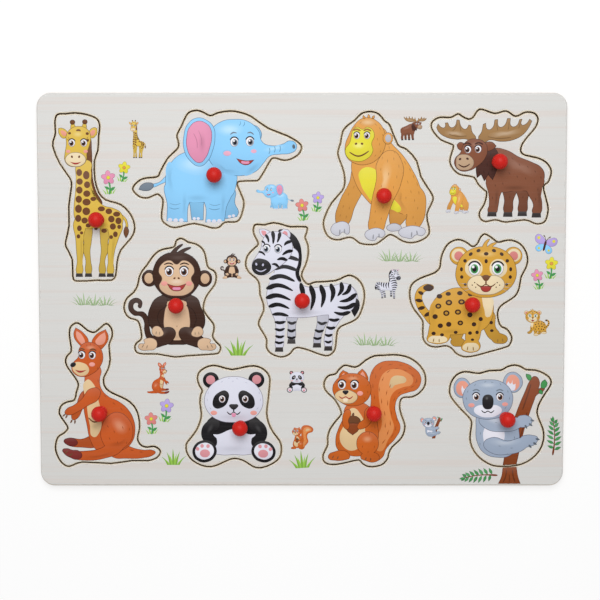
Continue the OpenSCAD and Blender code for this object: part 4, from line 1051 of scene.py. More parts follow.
def leopard(p):
    """A spotted cat sitting up, with large green eyes."""
    p.lined("gold", limb("15 20 3, 9.6 24.6 2.4, 6 30 2.2, 5.2 35.4 2.1, 8 39 2, 12 39.6 1.9"))
    p.fill("cocoa", *limbs("9.4 39.4 1.7, 12 39.5 1.6", "5.4 37 .6, 7 36.2 .9", "4 32.4 .7, 6.6 32 .8",
                           "5.4 27.6 .7, 8 28.2 .8", "9 23.6 .7, 11.4 25 .8"))
    p.lined("gold", limb("26.4 18 4.6, 26.8 11 3.4"),
            path("23.6 9.4, 24.4 6.6, 28 5.8, 31.2 6.6, 31.6 9.4, 28 10.8"),
            limb("44.4 24 4.2, 46 16 3.4, 49 11.6 3.1"),
            path("46.8 11.6, 47.6 8.6, 51.6 7.4, 55.4 8.4, 56 11, 53 13.2, 49 13.6"), tone=0.8)
    p.lined("gold", *paths("21 38, 28 39.6, 38 37, 46 34, 48 27, 45.6 19, 40 14.4, 31 13, 21 12.8, 13.6 16,"
                           "11 23.4, 13.6 32",
                           "10.4 12.6, 10 9.4, 13.4 7.6, 19 7.6, 22.4 9.4, 23.4 14, 21 22, 14 22"),
            limb("38.6 26 5.4, 37 16 4.3, 35.4 9 3.6"),
            path("30.6 8, 29.6 4.8, 32.4 2.8, 37 2.6, 40.2 4.4, 40 8.4, 36 10.6, 32.4 10"))
    p.soft("gold", 0.82, oval(24, 14.6, 8, 1.8),
           *limbs("40.8 24 1.2, 39.6 16 1.1, 38 10 1", "14.4 31 1.4, 12.6 24 1.4, 14 18 1.2"))
    p.fill("cream", path("42 36, 47 34, 47.4 27.6, 44.4 22.6, 42.6 27, 41.6 31"))
    p.fill("cream", *paths("10.8 9.2, 13.6 8.2, 18.8 8.2, 21.6 9.6, 20.4 11.4, 16 12, 11.8 11.4",
                           "30.4 5, 32.8 3.4, 37 3.2, 39.6 4.8, 38.8 7.2, 35 8, 31.6 7.2"), tone=0.96)
    p.fill("gold", *limbs("33 3.8 .16, 33.4 5.8 .16", "36.6 3.6 .16, 36.4 5.6 .16",
                          "13.6 8.6 .16, 14 10.4 .16", "17 8.4 .16, 17 10.2 .16", "50.4 8.4 .16, 50.4 10 .16",
                          "53.4 8.8 .16, 53 10.4 .16"), tone=0.4)
    p.fill("cocoa", *ovals(
        "17 34.6 1.6 1.3, 22 36 1.5 1.1, 16.4 29 1.7 1.5, 22.4 31 1.9 1.6, 28.6 36.4 1.6 1.2,"
        "29.6 31.4 1.9 1.5, 14.6 23 1.5 1.4, 21 25 1.8 1.6, 27.6 25.6 1.8 1.5, 17.6 17.8 1.5 1.3,"
        "22.4 18.6 1.5 1.4, 29 19.4 1.6 1.4, 34.6 35.6 1.4 1, 36.6 29.6 1.5 1.4, 34.4 24 1.5 1.4,"
        "36.8 18.6 1.3 1.2, 40.6 21.6 1.2 1.2, 34.6 13.6 1.1 1, 38.6 14 1 1, 36 9.8 .9 .7, 13.8 13.4 1.2 1,"
        "18.6 12.6 1.1 .9, 46.6 19.6 1 1, 47 15 1 .8, 26.4 14 1.1 .9"))
    p.fill("gold", *ovals("22.4 31 .9 .7, 29.6 31.4 .9 .7, 21 25 .9 .8, 27.6 25.6 .9 .7, 16.4 29 .8 .7,"
                          "29 19.4 .7 .6"), tone=0.72)
    p.lined("gold", *ovals("28 57.6 5.4 5.2, 58.8 57.6 5.2 5.2"))
    p.fill("cream", *ovals("27.6 58 3.9 3.7, 59.2 58 3.8 3.7"))
    p.fill("coral", *ovals("27.8 57.6 2.5 2.6, 59 57.6 2.5 2.6"), tone=0.94)
    p.lined("gold", *limbs("42.6 61 1.6, 43 64.6 1, 45 67 .4", "45 61 1.6, 46.6 63.8 1, 49 65 .4"),
            path("43.4 63, 51 62, 57.4 57.6, 60.6 50.6, 60 43.6, 56 38.2, 50 34.8, 43.4 33.8, 36.6 34.8,"
                 "30.6 38.2, 26.6 43.6, 26.4 50.6, 29.6 57.6, 36 62"))
    p.soft("gold", 1.4, oval(43.4, 58.6, 7, 2))
    p.fill("cream", *ovals("36.4 50.6 5 5.2, 50.4 50.6 5 5.2"))
    p.lined("cream", path(
        "43.4 45.6, 47.6 46.6, 52.8 44.4, 54 40.4, 50.4 36.8, 43.4 35.4, 36.4 36.8, 32.8 40.4, 34 44.4,"
        "39.2 46.6"))
    p.lined("mouth", path("40 40!, 43.4 40.6, 46.8 40!, 45.4 37.6, 43.4 37, 41.4 37.6"))
    p.fill("umber", path("40.6 46!, 43.4 46.8, 46.2 46!, 43.4 43.2"),
           *limbs("43.4 43.6 .25, 43.4 41.2 .25",
                  "38 41.8 .15, 40.6 40.2 .35, 43.4 41.4 .3, 46.2 40.2 .35, 48.8 41.8 .15"))
    eyes(p, 3.3, (36.8, 50.4), (50, 50.4), look=(0, -0.05), iris="leaf")
    p.fill("cocoa", *ovals(
        "39 60.6 1.2 .9 20, 43.4 58.8 1.3 1, 47.8 60.6 1.2 .9 -20, 34.6 58.6 1.2 .9 40, 52.2 58.6 1.2 .9 -40,"
        "43.4 54.6 .9 1.2, 29.4 50 .8 1.2, 57.4 50 .8 1.2, 29.6 45.6 .9 1, 57.2 45.6 .9 1, 31.6 41.4 .8 .8,"
        "55.2 41.4 .8 .8, 31.4 54.8 1 1, 55.4 54.8 1 1, 37 42.4 .35, 35.6 41 .35, 37.6 39.8 .35,"
        "49.8 42.4 .35, 51.2 41 .35, 49.2 39.8 .35"))
    p.fill("ash", *hairs(
        "33.8 41.4 5.6 172, 34.2 40 5.4 184, 34.8 38.8 4.8 196, 53 41.4 5.6 8, 52.6 40 5.4 -4,"
        "52 38.8 4.8 -16", 0.24), tone=0.9)


def kangaroo(p):
    """A kangaroo sitting on its hind legs and tail."""
    p.lined("rust", limb("34 11 5.6, 42 8 3.6, 50 7.2 2.4, 56 8 1.4"))
    p.lined("rust", *limbs("24 15 3.4, 15 13.4 2.5, 7 14.4 1.9", "18.6 42 3, 14 34.4 2.3, 11 28.6 2"),
            tone=0.78)
    p.lined("wine", limb("10.6 13.8 2.2, 6.6 14.5 1.9"), tone=0.8)
    p.lined("rust", path(
        "17.6 56, 23 59.6, 26.6 56, 25.8 50, 26.6 45, 30.4 40.6, 36.4 37.6, 41.8 33, 45 27, 45.8 20.6, 44 14,"
        "39.4 9.8, 31 7.6, 24 9, 20 15, 18 24, 16.4 33, 16.2 42, 17 50"))
    p.fill("sand", path("18.4 50, 21.8 48, 24.4 40, 26.4 29, 25.2 19.6, 21.8 17, 19.8 24, 18.2 36"))
    p.soft("sand", 0.8, oval(22.8, 23, 2.8, 2.4))
    p.fill("umber", limb("19.2 28 .2, 22.6 25.6 .4, 26.8 28.2 .2"))
    p.lined("rust",
            path("36 31.4, 42.4 27, 44.6 20, 42.4 13.4, 36.4 9.6, 30 10.4, 26.4 15.4, 26.4 22.6, 30 29"),
            limb("36 12.6 4, 27 7.6 3.2, 17 6.2 2.8, 9.6 7 2.3, 5.4 9 1.6"))
    p.lined("wine", limb("12.6 6.5 2.7, 9 7.4 2.3, 5.6 8.9 1.7"))
    p.soft("rust", 1.4, path("33 28, 39.6 26.4, 41.6 20, 38 18, 33 22"))
    p.soft("rust", 0.76, path("29 12, 34 10.6, 40 12.6, 42.4 16.4, 37 14.4, 32 14"),
           limb("34 8 .9, 26 5.8 .9, 16 4.8 .8"))
    p.fill("rust", *hairs(
        "29.6 24 2.2 300, 33.4 21 2.2 292, 38.4 23.4 2.2 286, 30.8 17 2 288, 35.4 14.8 2 284, 41 14.6 2 262,"
        "42.6 22.4 2 268, 22 9.4 2 196, 15.4 8.4 2 190, 37.4 34 2.2 306, 33 37 2.2 318, 28 41.4 2.2 312,"
        "24.6 50.4 2.2 282, 24.4 45.6 2.2 286, 48 8.4 2.4 356, 42.6 9.6 2.4 350", 0.4), tone=0.55)
    p.fill("umber", *limbs("5.4 7.4 .2, 7 9 .2", "8 5.8 .2, 9.6 7.6 .2"))
    p.lined("rust", limb("22.6 42 3.8, 17 37 2.7, 11.8 33.4 2.3, 7.4 31.4 2"))
    p.fill("umber", *limbs("5.6 30 .35, 4.4 29 .2", "6.8 29.4 .35, 6 28 .2", "9.6 26.6 .35, 8.8 25.2 .2",
                           "11.4 26.4 .35, 11.2 24.8 .2"))
    p.lined("rust", *paths("17.6 68.6, 13 71.4, 11 76, 12.2 80!, 16.6 77, 19.6 71.4",
                           "21.4 70.6, 23.6 75.6, 29.4 79!, 31 74.2, 28.8 69.4, 25.2 67"))
    p.fill("peach", *paths("16.8 70.4, 13.8 72.4, 12.4 76, 12.8 78!, 15.8 75.6",
                           "23.6 71, 25.4 74.8, 28.8 77.2!, 29.4 74, 27.6 70.4"))
    p.lined("rust", path(
        "20.8 71.6, 25.6 69, 27.8 63.8, 26.4 58, 22 53.6, 15.6 51.6, 11.3 53.3, 9.6 56.8, 10.9 60.2, 13.4 63,"
        "14 67.6, 16.8 71"))
    p.soft("rust", 1.4, oval(20.6, 68.4, 3.6, 1.6))
    p.fill("rust", *hairs(
        "25.4 66.4 1.8 292, 26.4 62 1.8 276, 24.8 57.4 1.8 250, 18.6 70.4 1.6 262, 20.6 71 1.6 270,"
        "22.6 70.6 1.6 280", 0.36), tone=0.55)
    p.fill("sand", path("10.2 56.8, 11.3 59.6, 15 60, 19.2 57.4, 19.2 54, 15.4 52.2, 11.7 53.9"))
    p.fill("soot", oval(10.6, 58.6, 1.7, 1.3, 30))
    p.fill("mouth", path("11.4 55.8!, 14.4 54, 18.4 55.6!, 14.6 55.2"))
    p.fill("blush", oval(21.4, 58.8, 1.7, 1.2))
    eyes(p, 2, (15.6, 64.2), (21.6, 64), look=(-0.15, -0.05))
    p.fill("umber", *limbs("14 67.2 .2, 15.6 67.8 .4, 17.2 67.2 .2", "20.2 67 .2, 22 67.6 .4, 23.8 66.8 .2"))


def panda(p):
    """A panda sitting with the soles of its feet in front."""
    p.lined("black", *ovals("14.4 50.6 4.6, 40.4 50.8 4.6"))
    p.fill("pink", *ovals("14.2 50.8 2.6, 40.6 51 2.6"), tone=0.9)
    p.lined("white", path(
        "14.6 26, 27.4 29, 40.2 26, 43.4 17.6, 41 9.6, 34.4 7.4, 27.4 7.6, 20.4 7.4, 14 9.6, 11.6 17.6"))
    p.soft("white", 0.86, oval(27.4, 11, 11, 2.6))
    p.lined("black",
            path("13.4 28.4, 27.4 31, 41.4 28.4, 43.2 22.6, 38.6 19.4, 27.4 22.4, 16.2 19.4, 11.6 22.6"))
    p.lined("black", *limbs("15.8 25 3.8, 12.2 19.8 3.5, 15 15 3.1",
                            "39.4 25 3.8, 43.2 19.8 3.4, 40.2 15 3.1"))
    p.soft("black", 1.12, *limbs("15 24.6 1.2, 12.6 20.6 1", "40.2 24.6 1.2, 42.8 20.6 1"))
    p.lined("black", *ovals("10.6 9.6 7 6.4 15, 44.4 9.4 7 6.2 -15"))
    p.fill("snow", *ovals("10.6 9.7 5.4 4.8 15, 44.4 9.5 5.4 4.6 -15"))
    p.fill("pink", *ovals(
        "10.8 8.4 2.9 2.3, 44.2 8.2 2.9 2.3, 6.6 11 1 1.1 30, 9.2 12.7 1 1.1, 12.6 12.6 1 1.1 -20,"
        "48.4 10.8 1 1.1 -30, 45.8 12.5 1 1.1, 42.4 12.4 1 1.1 20"), tone=0.94)
    p.lined("white", path(
        "27.4 52.8, 35 51.4, 41.2 46.8, 44.2 40, 42.6 32.6, 36.4 27.6, 27.4 26.2, 18.4 27.6, 12.4 32.6,"
        "10.6 40, 13.6 46.8, 19.8 51.4"))
    p.soft("white", 0.87, oval(27.4, 29.4, 11, 2))
    p.fill("dusk", *hairs(
        "12.4 38.4 2 98, 12.6 42.4 2 78, 42.6 38.4 2 82, 42.2 42.4 2 102, 24 51.4 1.8 20, 28.6 51.6 1.8 -12,"
        "26.2 50 1.6 4, 14.6 33.6 2 128, 40.4 33.6 2 52, 20 49.2 1.8 36, 34 49.6 1.8 -32", 0.34), tone=0.82)
    p.fill("black", *paths("23.6 44.2, 18.6 43.4, 15.4 38.6, 16.4 34.8, 20.6 34.8, 24.2 38.8",
                           "31.2 44.2, 36.2 43.4, 39.4 38.6, 38.4 34.8, 34.2 34.8, 30.6 38.8"))
    eyes(p, 1.9, (20.8, 39.8), (34, 39.8), look=(0, -0.05))
    p.fill("blush", *ovals("16 31.8 1.9 1.3, 38.8 31.8 1.9 1.3"))
    p.fill("soot", path("24.8 36.2, 27.4 36.8, 30 36.2, 29.2 34.6, 27.4 33.6, 25.6 34.6"),
           *limbs("27.4 34 .22, 27.4 32.4 .22",
                  "23.6 32.4 .15, 25.4 31 .35, 27.4 32.2 .3, 29.4 31 .35, 31.2 32.4 .15"))
    p.fill("rose", path("26.2 31.6!, 28.6 31.6!, 28.2 29.6, 26.6 29.6"))


def squirrel(p):
    """A squirrel holding an acorn, with a bushy tail."""
    p.lined("copper", path(
        "24 7, 29.6 3.2, 34.2 5.4, 36.4 10.4, 41.4 16.2, 44.4 22.4, 42.4 29, 41.4 35, 43.6 40.6, 48.6 42.8,"
        "53.4 44.4, 56 48.6, 55.6 53, 52 57, 46.4 60, 39 61.2, 32.4 60, 28 55.6, 26.4 48, 27.4 39, 26 29,"
        "23 18"))
    p.fill("ginger", path(
        "32 9, 37.6 16, 40.6 22.6, 38.8 29.6, 38 36.4, 40.4 43, 46 46, 50.6 47.4, 51.4 51, 47.6 54.6,"
        "41 56.4, 35.4 54.6, 32.4 49.6, 31.8 41.6, 33 32.6, 33.6 24, 31 16"))
    p.fill("sand", path("43.4 47.8, 47.4 49.2, 47.2 51.2, 43.6 52.6, 40 52, 38.2 49, 38.8 45.4, 41 47"),
           tone=0.9)
    p.fill("copper", *hairs(
        "33.6 13 4 52, 36.4 11.6 3.4 58, 39 16.6 3.6 62, 36.6 18 3.8 72, 41.4 20.6 3.6 82, 38.6 23.4 3.8 92,"
        "35.6 22 3.8 88, 42.4 26 3.2 100, 39.4 29.4 3.6 98, 35.6 29 3.8 98, 41 32.4 3 92, 37 35 3.8 90,"
        "33.6 36 3.8 92, 40.2 37.6 3.2 66, 36 41 3.8 78, 32.2 43 3.8 92, 42.6 41.8 3.2 40, 38 45.4 2.6 72,"
        "33.6 49 3.4 70, 30 50.6 3.4 86, 46 44.2 3 24, 50 45.6 2.8 30, 36.2 54 3.2 38, 32 55.6 3.2 56,"
        "52.8 48 2.6 66, 40.6 56.4 3.2 10, 45.6 56 3.2 -16, 50.4 53.6 3 -46, 53.4 51 2.4 -78, 37 58.6 3.2 14,"
        "43 58.8 3.2 -6, 48.6 57.4 3 -30, 28.6 45 3.4 92, 29.4 38.6 3.2 90, 28 53 3 70", 0.5), tone=0.62)
    p.lined("copper", path(
        "12.8 34.6, 11.4 28, 9 22.6, 7.2 16, 8.4 10, 14 6.8, 22 6.2, 28 8.4, 31.4 14.4, 31.6 23, 29 31,"
        "24 36.6, 17 37.6"))
    p.fill("sand", path("17 34, 21.4 30.6, 24 23, 22.6 14, 17.4 9.4, 11.8 11.6, 9.6 17.6, 12.4 25, 14 31"))
    p.lined("copper", oval(25.6, 13.6, 6.4, 6.8),
            *paths("22.4 7.6, 21.6 5.2, 24.6 3.4, 29.6 2.6, 32.4 4.6, 31.6 7.4, 27.6 8.4",
                   "14.6 8.2, 15.4 5.2, 12.6 3.9, 7 3.6, 3.2 4.8, 3.4 7.2, 6.6 8.8, 11 9.6"))
    p.soft("copper", 1.4, oval(25.4, 16, 3.4, 2.4))
    p.fill("copper", *hairs(
        "28.6 28.6 2 282, 29.6 24 2 276, 26.4 20.4 2 282, 29.6 12.4 2 262, 22.6 12.6 2 276, 12 29.6 2 256,"
        "9.4 21.6 2 262, 9 14.6 2 268, 26 9.4 1.8 262", 0.42), tone=0.6)
    p.fill("umber", *limbs("5.4 5 .16, 6.2 6.4 .16", "8.2 4.6 .16, 8.8 6 .16", "24.4 4 .16, 24.8 5.4 .16",
                           "27.4 3.6 .16, 27.4 5 .16"))
    p.lined("bark", path("16.8 27.2, 20.4 25.6, 20.6 21.6, 17 18.2!, 13.4 21.6, 13.2 25.6"))
    p.lined("umber", path("12.4 26, 14 28.8, 17 29.4, 20 28.8, 21.4 26, 17 25.2"),
            limb("17 29 .6, 17.4 30.8 .5"))
    p.lined("copper", *limbs("27 32 3, 25.4 26.6 2.3, 21.4 23.4 2",
                             "14.2 31.4 2, 12.8 26.8 1.8, 13.6 23.2 1.7"))
    p.lined("copper", *paths("9.4 50, 9.4 53.4, 11.4 55.8!, 14.8 53.2",
                             "19.6 53, 22.4 56.6!, 25 53.6, 25.4 49.6"))
    p.fill("peach", *paths("10.6 51, 10.8 53, 11.8 54.2!, 13 52.6", "21.4 53, 22.6 55!, 23.8 53.2, 24 51"))
    p.lined("copper", path(
        "16.8 54, 22.6 52.6, 26.8 48.2, 27.2 42, 23.6 37, 17 35, 11 36.6, 6.8 40.6, 5.4 45.6, 7.6 50.2,"
        "11.8 53.2"))
    p.soft("copper", 1.45, oval(17, 51, 4.4, 1.6))
    p.fill("copper", *hairs(
        "8 47.8 1.8 118, 8.2 43.6 1.6 98, 25.4 46.4 1.8 72, 25.6 42.4 1.8 88, 24 38.8 1.6 116, 15 53 1.6 262,"
        "17.4 53 1.6 270, 19.8 52.4 1.6 280", 0.38), tone=0.6)
    p.lined("sand", path("12.8 44.6, 16.6 43.8, 19.8 41, 18.6 37.8, 13.6 36.4, 9 38, 6.6 41, 8.4 43.6"))
    p.fill("sand", path("11.4 39.4!, 14.4 39.4!, 14 37.4!, 11.8 37.4!"), tone=1.6)
    p.fill("mouth", limb("9.2 40.6 .15, 11 39.6 .35, 13 40.4 .3, 15 39.4 .35, 17 40.6 .15"))
    p.fill("soot", path("11.2 43.6, 12.9 44.1, 14.6 43.6, 13.9 42.2, 12.9 41.6, 11.9 42.2"))
    p.fill("blush", oval(21.2, 42.4, 1.7, 1.3))
    eyes(p, 2.3, (10.8, 47.4), (18, 47.2), look=(-0.1, -0.05))


def koala(p):
    """A koala on a branch with a few leaves."""
    p.lined("bark", path("30.8 .7!, 38.8 1.2!, 40.6 10, 43 21, 46.4 32, 49.8 42, 51.4 49.6, 48.6 52.2,"
                         "46 49.8, 43.2 43.6, 38.2 31, 33.6 16"),
            limb("45 38 1.6, 49.4 42.4 1.3, 53.6 44.8 1"))
    p.fill("bark", *limbs("35 8 .25, 37.6 16 .4, 39.4 23 .25", "39.4 13 .25, 42.4 22.6 .35, 44.4 31 .25",
                          "42 33 .25, 44.6 41 .35, 46.6 47.6 .2"), tone=0.55)
    p.lined("leaf", *paths("53 45, 52.4 48.4, 54.6 50.4!, 56 47.4", "51.8 44.4, 53.5 43, 53.2 41.6!, 51 42.6",
                           "46 49.6, 43.8 51.6, 43.6 53.6!, 46.6 52.4"))
    p.lined("mist",
            path("16.8 31, 15.2 22, 16 14, 20 7.8, 27.6 5.2, 35.4 6.6, 39.6 12.4, 40 21, 37 29, 28 33"))
    p.fill("snow", path("26.6 27, 31 22, 31 14, 27 9.6, 22.4 10.6, 19.6 16, 20.6 22.6"))
    p.lined("mist", limb("24 12.6 4.4, 34 11 4, 43 13.6 3.2"),
            path("41 16.8, 41.6 11.6, 46 11.4, 50 13.6, 50.8 16.8, 47.6 18.2, 43.6 18.2"),
            limb("21 26.6 4.2, 31 23.6 3.6, 40 25.4 3"),
            path("39 28.4, 39.6 23.4, 43 22.6, 46.4 24, 47.6 26.8, 45.4 29.2, 42 29.8"))
    p.soft("mist", 1.35, *limbs("24 14.6 1.6, 33 13 1.4, 41 15 1", "21 28 1.6, 31 25.4 1.4"))
    p.fill("slate", *hairs(
        "18 20 2 262, 17.6 14 2 276, 33 7.6 2 330, 37.4 17.6 2 268, 28 12 2 352, 35 10.6 2 6, 26 25.6 2 346,"
        "34 23 2 2", 0.36), tone=0.95)
    p.fill("slate", *limbs("50 16 .5, 51.6 15.6 .3", "48.6 13.6 .5, 50 12.8 .3", "46 12.2 .5, 47 11 .3",
                           "47 26.8 .5, 48.4 26.4 .3", "46 24.6 .5, 47.4 23.6 .3",
                           "43.6 23.6 .5, 44.4 22.2 .3"), tone=0.6)
    p.lined("mist", *paths("12 43, 10.6 49.4, 6.6 51.2, 3.4 49, 2.4 45, 4 41, 7.6 39.6",
                           "31 46.4, 31.6 52, 35.4 54.6, 39.6 53.2, 41.8 49.4, 40.6 45, 36.6 42.6"))
    p.fill("peach", *paths("10.8 44, 9.8 48.4, 6.8 49.4, 4.4 47.6, 3.8 44.6, 5 41.8, 8 41",
                           "32.8 46.6, 33.2 51.4, 35.6 53, 38.6 51.8, 40 48.8, 39.2 45.4, 36.6 43.8"))
    p.fill("snow", *paths("11.4 43.4, 9.6 46!, 8.6 44.8, 7.2 46.8!, 6.8 44, 8.2 41.4",
                          "32.6 46.2, 33.6 49.2!, 34.8 47.8, 36 50!, 36.4 47.4, 37.8 47.8!, 36.8 44"))
    p.lined("mist", path(
        "22 50.2, 29.6 49, 35.2 44, 36.2 37, 32.6 30.6, 26 27.6, 18 27.6, 11.4 30.8, 7.8 37, 8.6 44,"
        "14.2 49"))
    p.soft("mist", 1.4, oval(22, 47, 6, 1.8))
    p.fill("slate", *hairs(
        "9.8 38.4 2 98, 10.2 42.4 2 76, 34.2 38.4 2 82, 33.6 42.4 2 104, 12.6 33.6 2 126, 31.6 33.2 2 54,"
        "14 46.4 2 52, 29.6 46.8 2 128, 19.6 48.6 1.8 20, 23.4 48.8 1.8 -10", 0.36), tone=0.95)
    p.fill("snow", path("22 35, 27.6 35.2, 30 32.6, 27 29.4, 22 28.4, 17 29.4, 14 32.6, 16.4 35.2"))
    p.fill("soot", path("22 41.6, 24.4 40.6, 25.2 37, 24.2 33.8, 22 33, 19.8 33.8, 18.8 37, 19.6 40.6"))
    p.soft("soot", 1.3, oval(21.4, 39.4, 1, 1.2))
    p.fill("soot", limb("18.4 32.4 .15, 20.2 31.2 .32, 22 32 .3, 23.8 31.2 .32, 25.6 32.4 .15"))
    p.fill("blush", *ovals("12.6 35.4 1.8 1.2, 31.8 36 1.7 1.1"))
    eyes(p, 2.1, (15.2, 40.2), (28.8, 40.2), look=(0.1, -0.05))
    p.fill("slate", *limbs("13.4 43.8 .2, 15.4 44.4 .4, 17.2 43.6 .2",
                           "26.8 43.6 .2, 28.6 44.4 .4, 30.6 43.8 .2"))


def grass(p):
    """A tuft of grass."""
    p.fill("grass", *blades("0 -3.6 4.6 .9, 1.3 -2 6.8 1, 2.7 -.2 8.6 1.1, 4.1 2 7 1, 5.4 4.2 5 .9"),
           tone=0.72)
    p.fill("grass", *blades(".7 -3 3.4 .7, 2 -1.4 5.4 .9, 3.4 1 6 .9, 4.8 3.4 3.6 .7"))


def pale_grass(p):
    """A low row of pale grass."""
    p.fill("sage", *blades(
        "0 -5 2.4 .6, 1 -3.8 5.2 .7, 2 -2.8 6.6 .8, 3 -1 4.6 .7, 4 -.6 7.6 .8, 5 2.2 5.6 .7, 6.2 4.2 3.4 .6,"
        "7.4 -3.6 3.4 .6, 8.4 -1.8 5.4 .7, 9.4 1.2 4 .7, 10 .6 6.8 .8, 11 3.4 5.2 .7, 12 4.6 3 .6,"
        "13.4 -3.4 2.8 .6, 14.4 -2 5 .7, 15.2 1.6 3.6 .6, 16 -.8 5.8 .8, 17.2 2.2 5.4 .7, 18.4 3.8 3.8 .6,"
        "19.4 4.8 2 .6"), tone=0.84)
    p.fill("sage", *blades("1.6 -4.4 3.4 .6, 3.4 -2.6 4.4 .6, 5.6 3.4 4.4 .6, 9 -3 3.6 .6, 10.6 2.6 4 .6,"
                           "14.8 -3 3.4 .6, 16.8 3.2 4 .6"),
           *hairs("1 -.2 5 8, 6.4 .1 5 -6, 11.6 -.4 6 5, 16.4 .2 5 -8", 0.5), tone=0.72)


def flower(petals, heart="lemon"):
    """The picture of a flower with five petals in one ink and a heart in another."""
    x, y, reach = 0.2, 6.6, 1.45

    def picture(p):
        p.fill("grass", *blades("-1.4 -1.4 2.2 .5, -.6 -.8 3.2 .6, .6 1 3 .6, 1.4 1.8 2 .5"))
        p.fill("leaf", limb("0 0 .25, .5 2.6 .3, .2 5.4 .25"), leaf(0.3, 1.2, 2.8, 1.2, 32),
               leaf(0.3, 1.8, 2.6, 1.1, 146))
        p.lined(petals, *(oval(x + reach * cos(radians(turn)), y + reach * sin(radians(turn)), 1.5, 1.05,
                               turn) for turn in range(18, 360, 72)))
        p.lined(heart, oval(x, y, 0.8))
    return picture


rose_flower, coral_flower, lilac_flower = (flower(petals) for petals in ("rose", "coral", "lilac"))
yellow_flower = flower("lemon", "amber")


def butterfly(p):
    """A butterfly with open wings."""
    p.lined("lilac", *paths("0 .6, -2.6 4.4, -5.2 4.6, -5.8 2, -3.4 0",
                            "0 .6, 2.6 4.4, 5.2 4.6, 5.8 2, 3.4 0"))
    p.lined("sky", *paths("0 0, -3.2 -.4, -4.4 -2.6, -2.6 -4, -.8 -2.6",
                          "0 0, 3.2 -.4, 4.4 -2.6, 2.6 -4, .8 -2.6"))
    p.fill("lemon", *ovals("-4 3 .8, 4 3 .8, -2.6 -2.2 .6, 2.6 -2.2 .6"))
    p.fill("mane", *limbs("0 -2.8 .3, 0 0 .55, 0 2 .4", "0 2 .1, -.8 3.8 .12, -1.8 4.8 .2",
                          "0 2 .1, .8 3.8 .12, 1.8 4.8 .2"))


def leafy_sprig(p):
    """A sprig with leaves in pairs."""
    p.fill("bark", limb("0 0 .45, 1 7 .35, 1.2 14 .3, .4 21 .15"), tone=0.8)
    pairs = ((3, 4.6), (5.8, 5.2), (8.6, 5.4), (11.4, 5.2), (14.2, 4.8), (17, 4.2), (19.4, 3.4))
    for k, (y, length) in enumerate(pairs):
        p.lined("leaf", leaf(1, y, length, 1.9, 22 + 5 * k), leaf(0.8, y + 1, length, 1.8, 158 - 5 * k),
                tone=0.86 + 0.1 * (k % 3))
    p.lined("leaf", leaf(0.4, 20.6, 3.6, 1.5, 94))


def tree_foot(p):
    """The foot of a tree's trunk."""
    p.lined("bark", path("-3.8 10.45!, 4.2 10.9!, 5.2 5, 6.6 1.1!, 2 1.1!, -2 1.1!, -6.4 1.1!, -4.6 5"))
    p.fill("bark", *limbs("-1.6 9 .2, -2 5.4 .35, -3.4 2 .2", "1.8 9 .2, 2.4 5 .4, 3.4 2.2 .2",
                          "0 6.4 .15, .2 4 .3, 0 1.8 .15"), tone=0.55)


# Small pictures on the board: picture, x and y of its middle in millimetres, whether it faces the other way.
SMALL_ANIMALS = [
    (giraffe, -93, 86, False), (elephant, -15, 53.5, True), (gorilla, 88, 52, False), (moose, 63, 92, True),
    (monkey, -40.5, 14, False), (zebra, 49, 4, True), (leopard, 134, -18, True), (kangaroo, -82, -50, True),
    (panda, -3, -52, False), (squirrel, 0, -84, False), (koala, 74, -78, False)]

# Plants on the board: picture, x and y of its foot in millimetres, scale and turn.
PLANTS = [
    (grass, -40, -37, 1.3, 0), (grass, -76.8, -100, 1.12, 0), (grass, -3, -102, 1.2, 4),
    (pale_grass, -128, -8, 1, 0), (pale_grass, 32, -31, 1, 0), (pale_grass, 46, 17, 1, 0),
    (rose_flower, -109, 55, 1.4, 6), (yellow_flower, -102, 62, 1.2, -8), (coral_flower, 1, 40, 1.3, 8),
    (lilac_flower, 8, 45, 1.2, -6), (rose_flower, 135, 1, 1.2, 10), (yellow_flower, 141, 7, 1.3, -4),
    (coral_flower, -86, -82, 1.3, 4), (lilac_flower, -79, -75, 1.4, -8), (leafy_sprig, 143.9, -94, 0.92, 1),
    (leafy_sprig, 112, -106, 0.9, 96), (tree_foot, 119, -112, 1, 0), (butterfly, 138, 26, 1.1, -14)]

PICTURES = (giraffe, elephant, gorilla, moose, monkey, zebra, leopard, kangaroo, panda, squirrel, koala)
SMALL_SCALE = 0.24  # scale of the small pictures
PLANT_LINE = 0.5  # width of the plants' lines beside that of the animals'
SMALL_SHAPE = 6.0  # width in millimetres under which a shape needs fewer points
CURVE_STEPS = 8  # straight sides between two points of an outline
FADE_CUTS = 2  # cuts across a soft shape, from its edge to its middle
SPREAD = 0.8  # share of a film's height over which the shapes of one step lie one above the other
WHITENING = 0.25  # white in an ink whose tone is 2
OUTLINE_TONE = (0.30, 0.27, 0.30)  # an outline's red, green and blue beside those of its ink
CUT_HALF = 0.35 * MM


# Printing: the outlines become smooth curves, then thin films of ink that stand one on the other


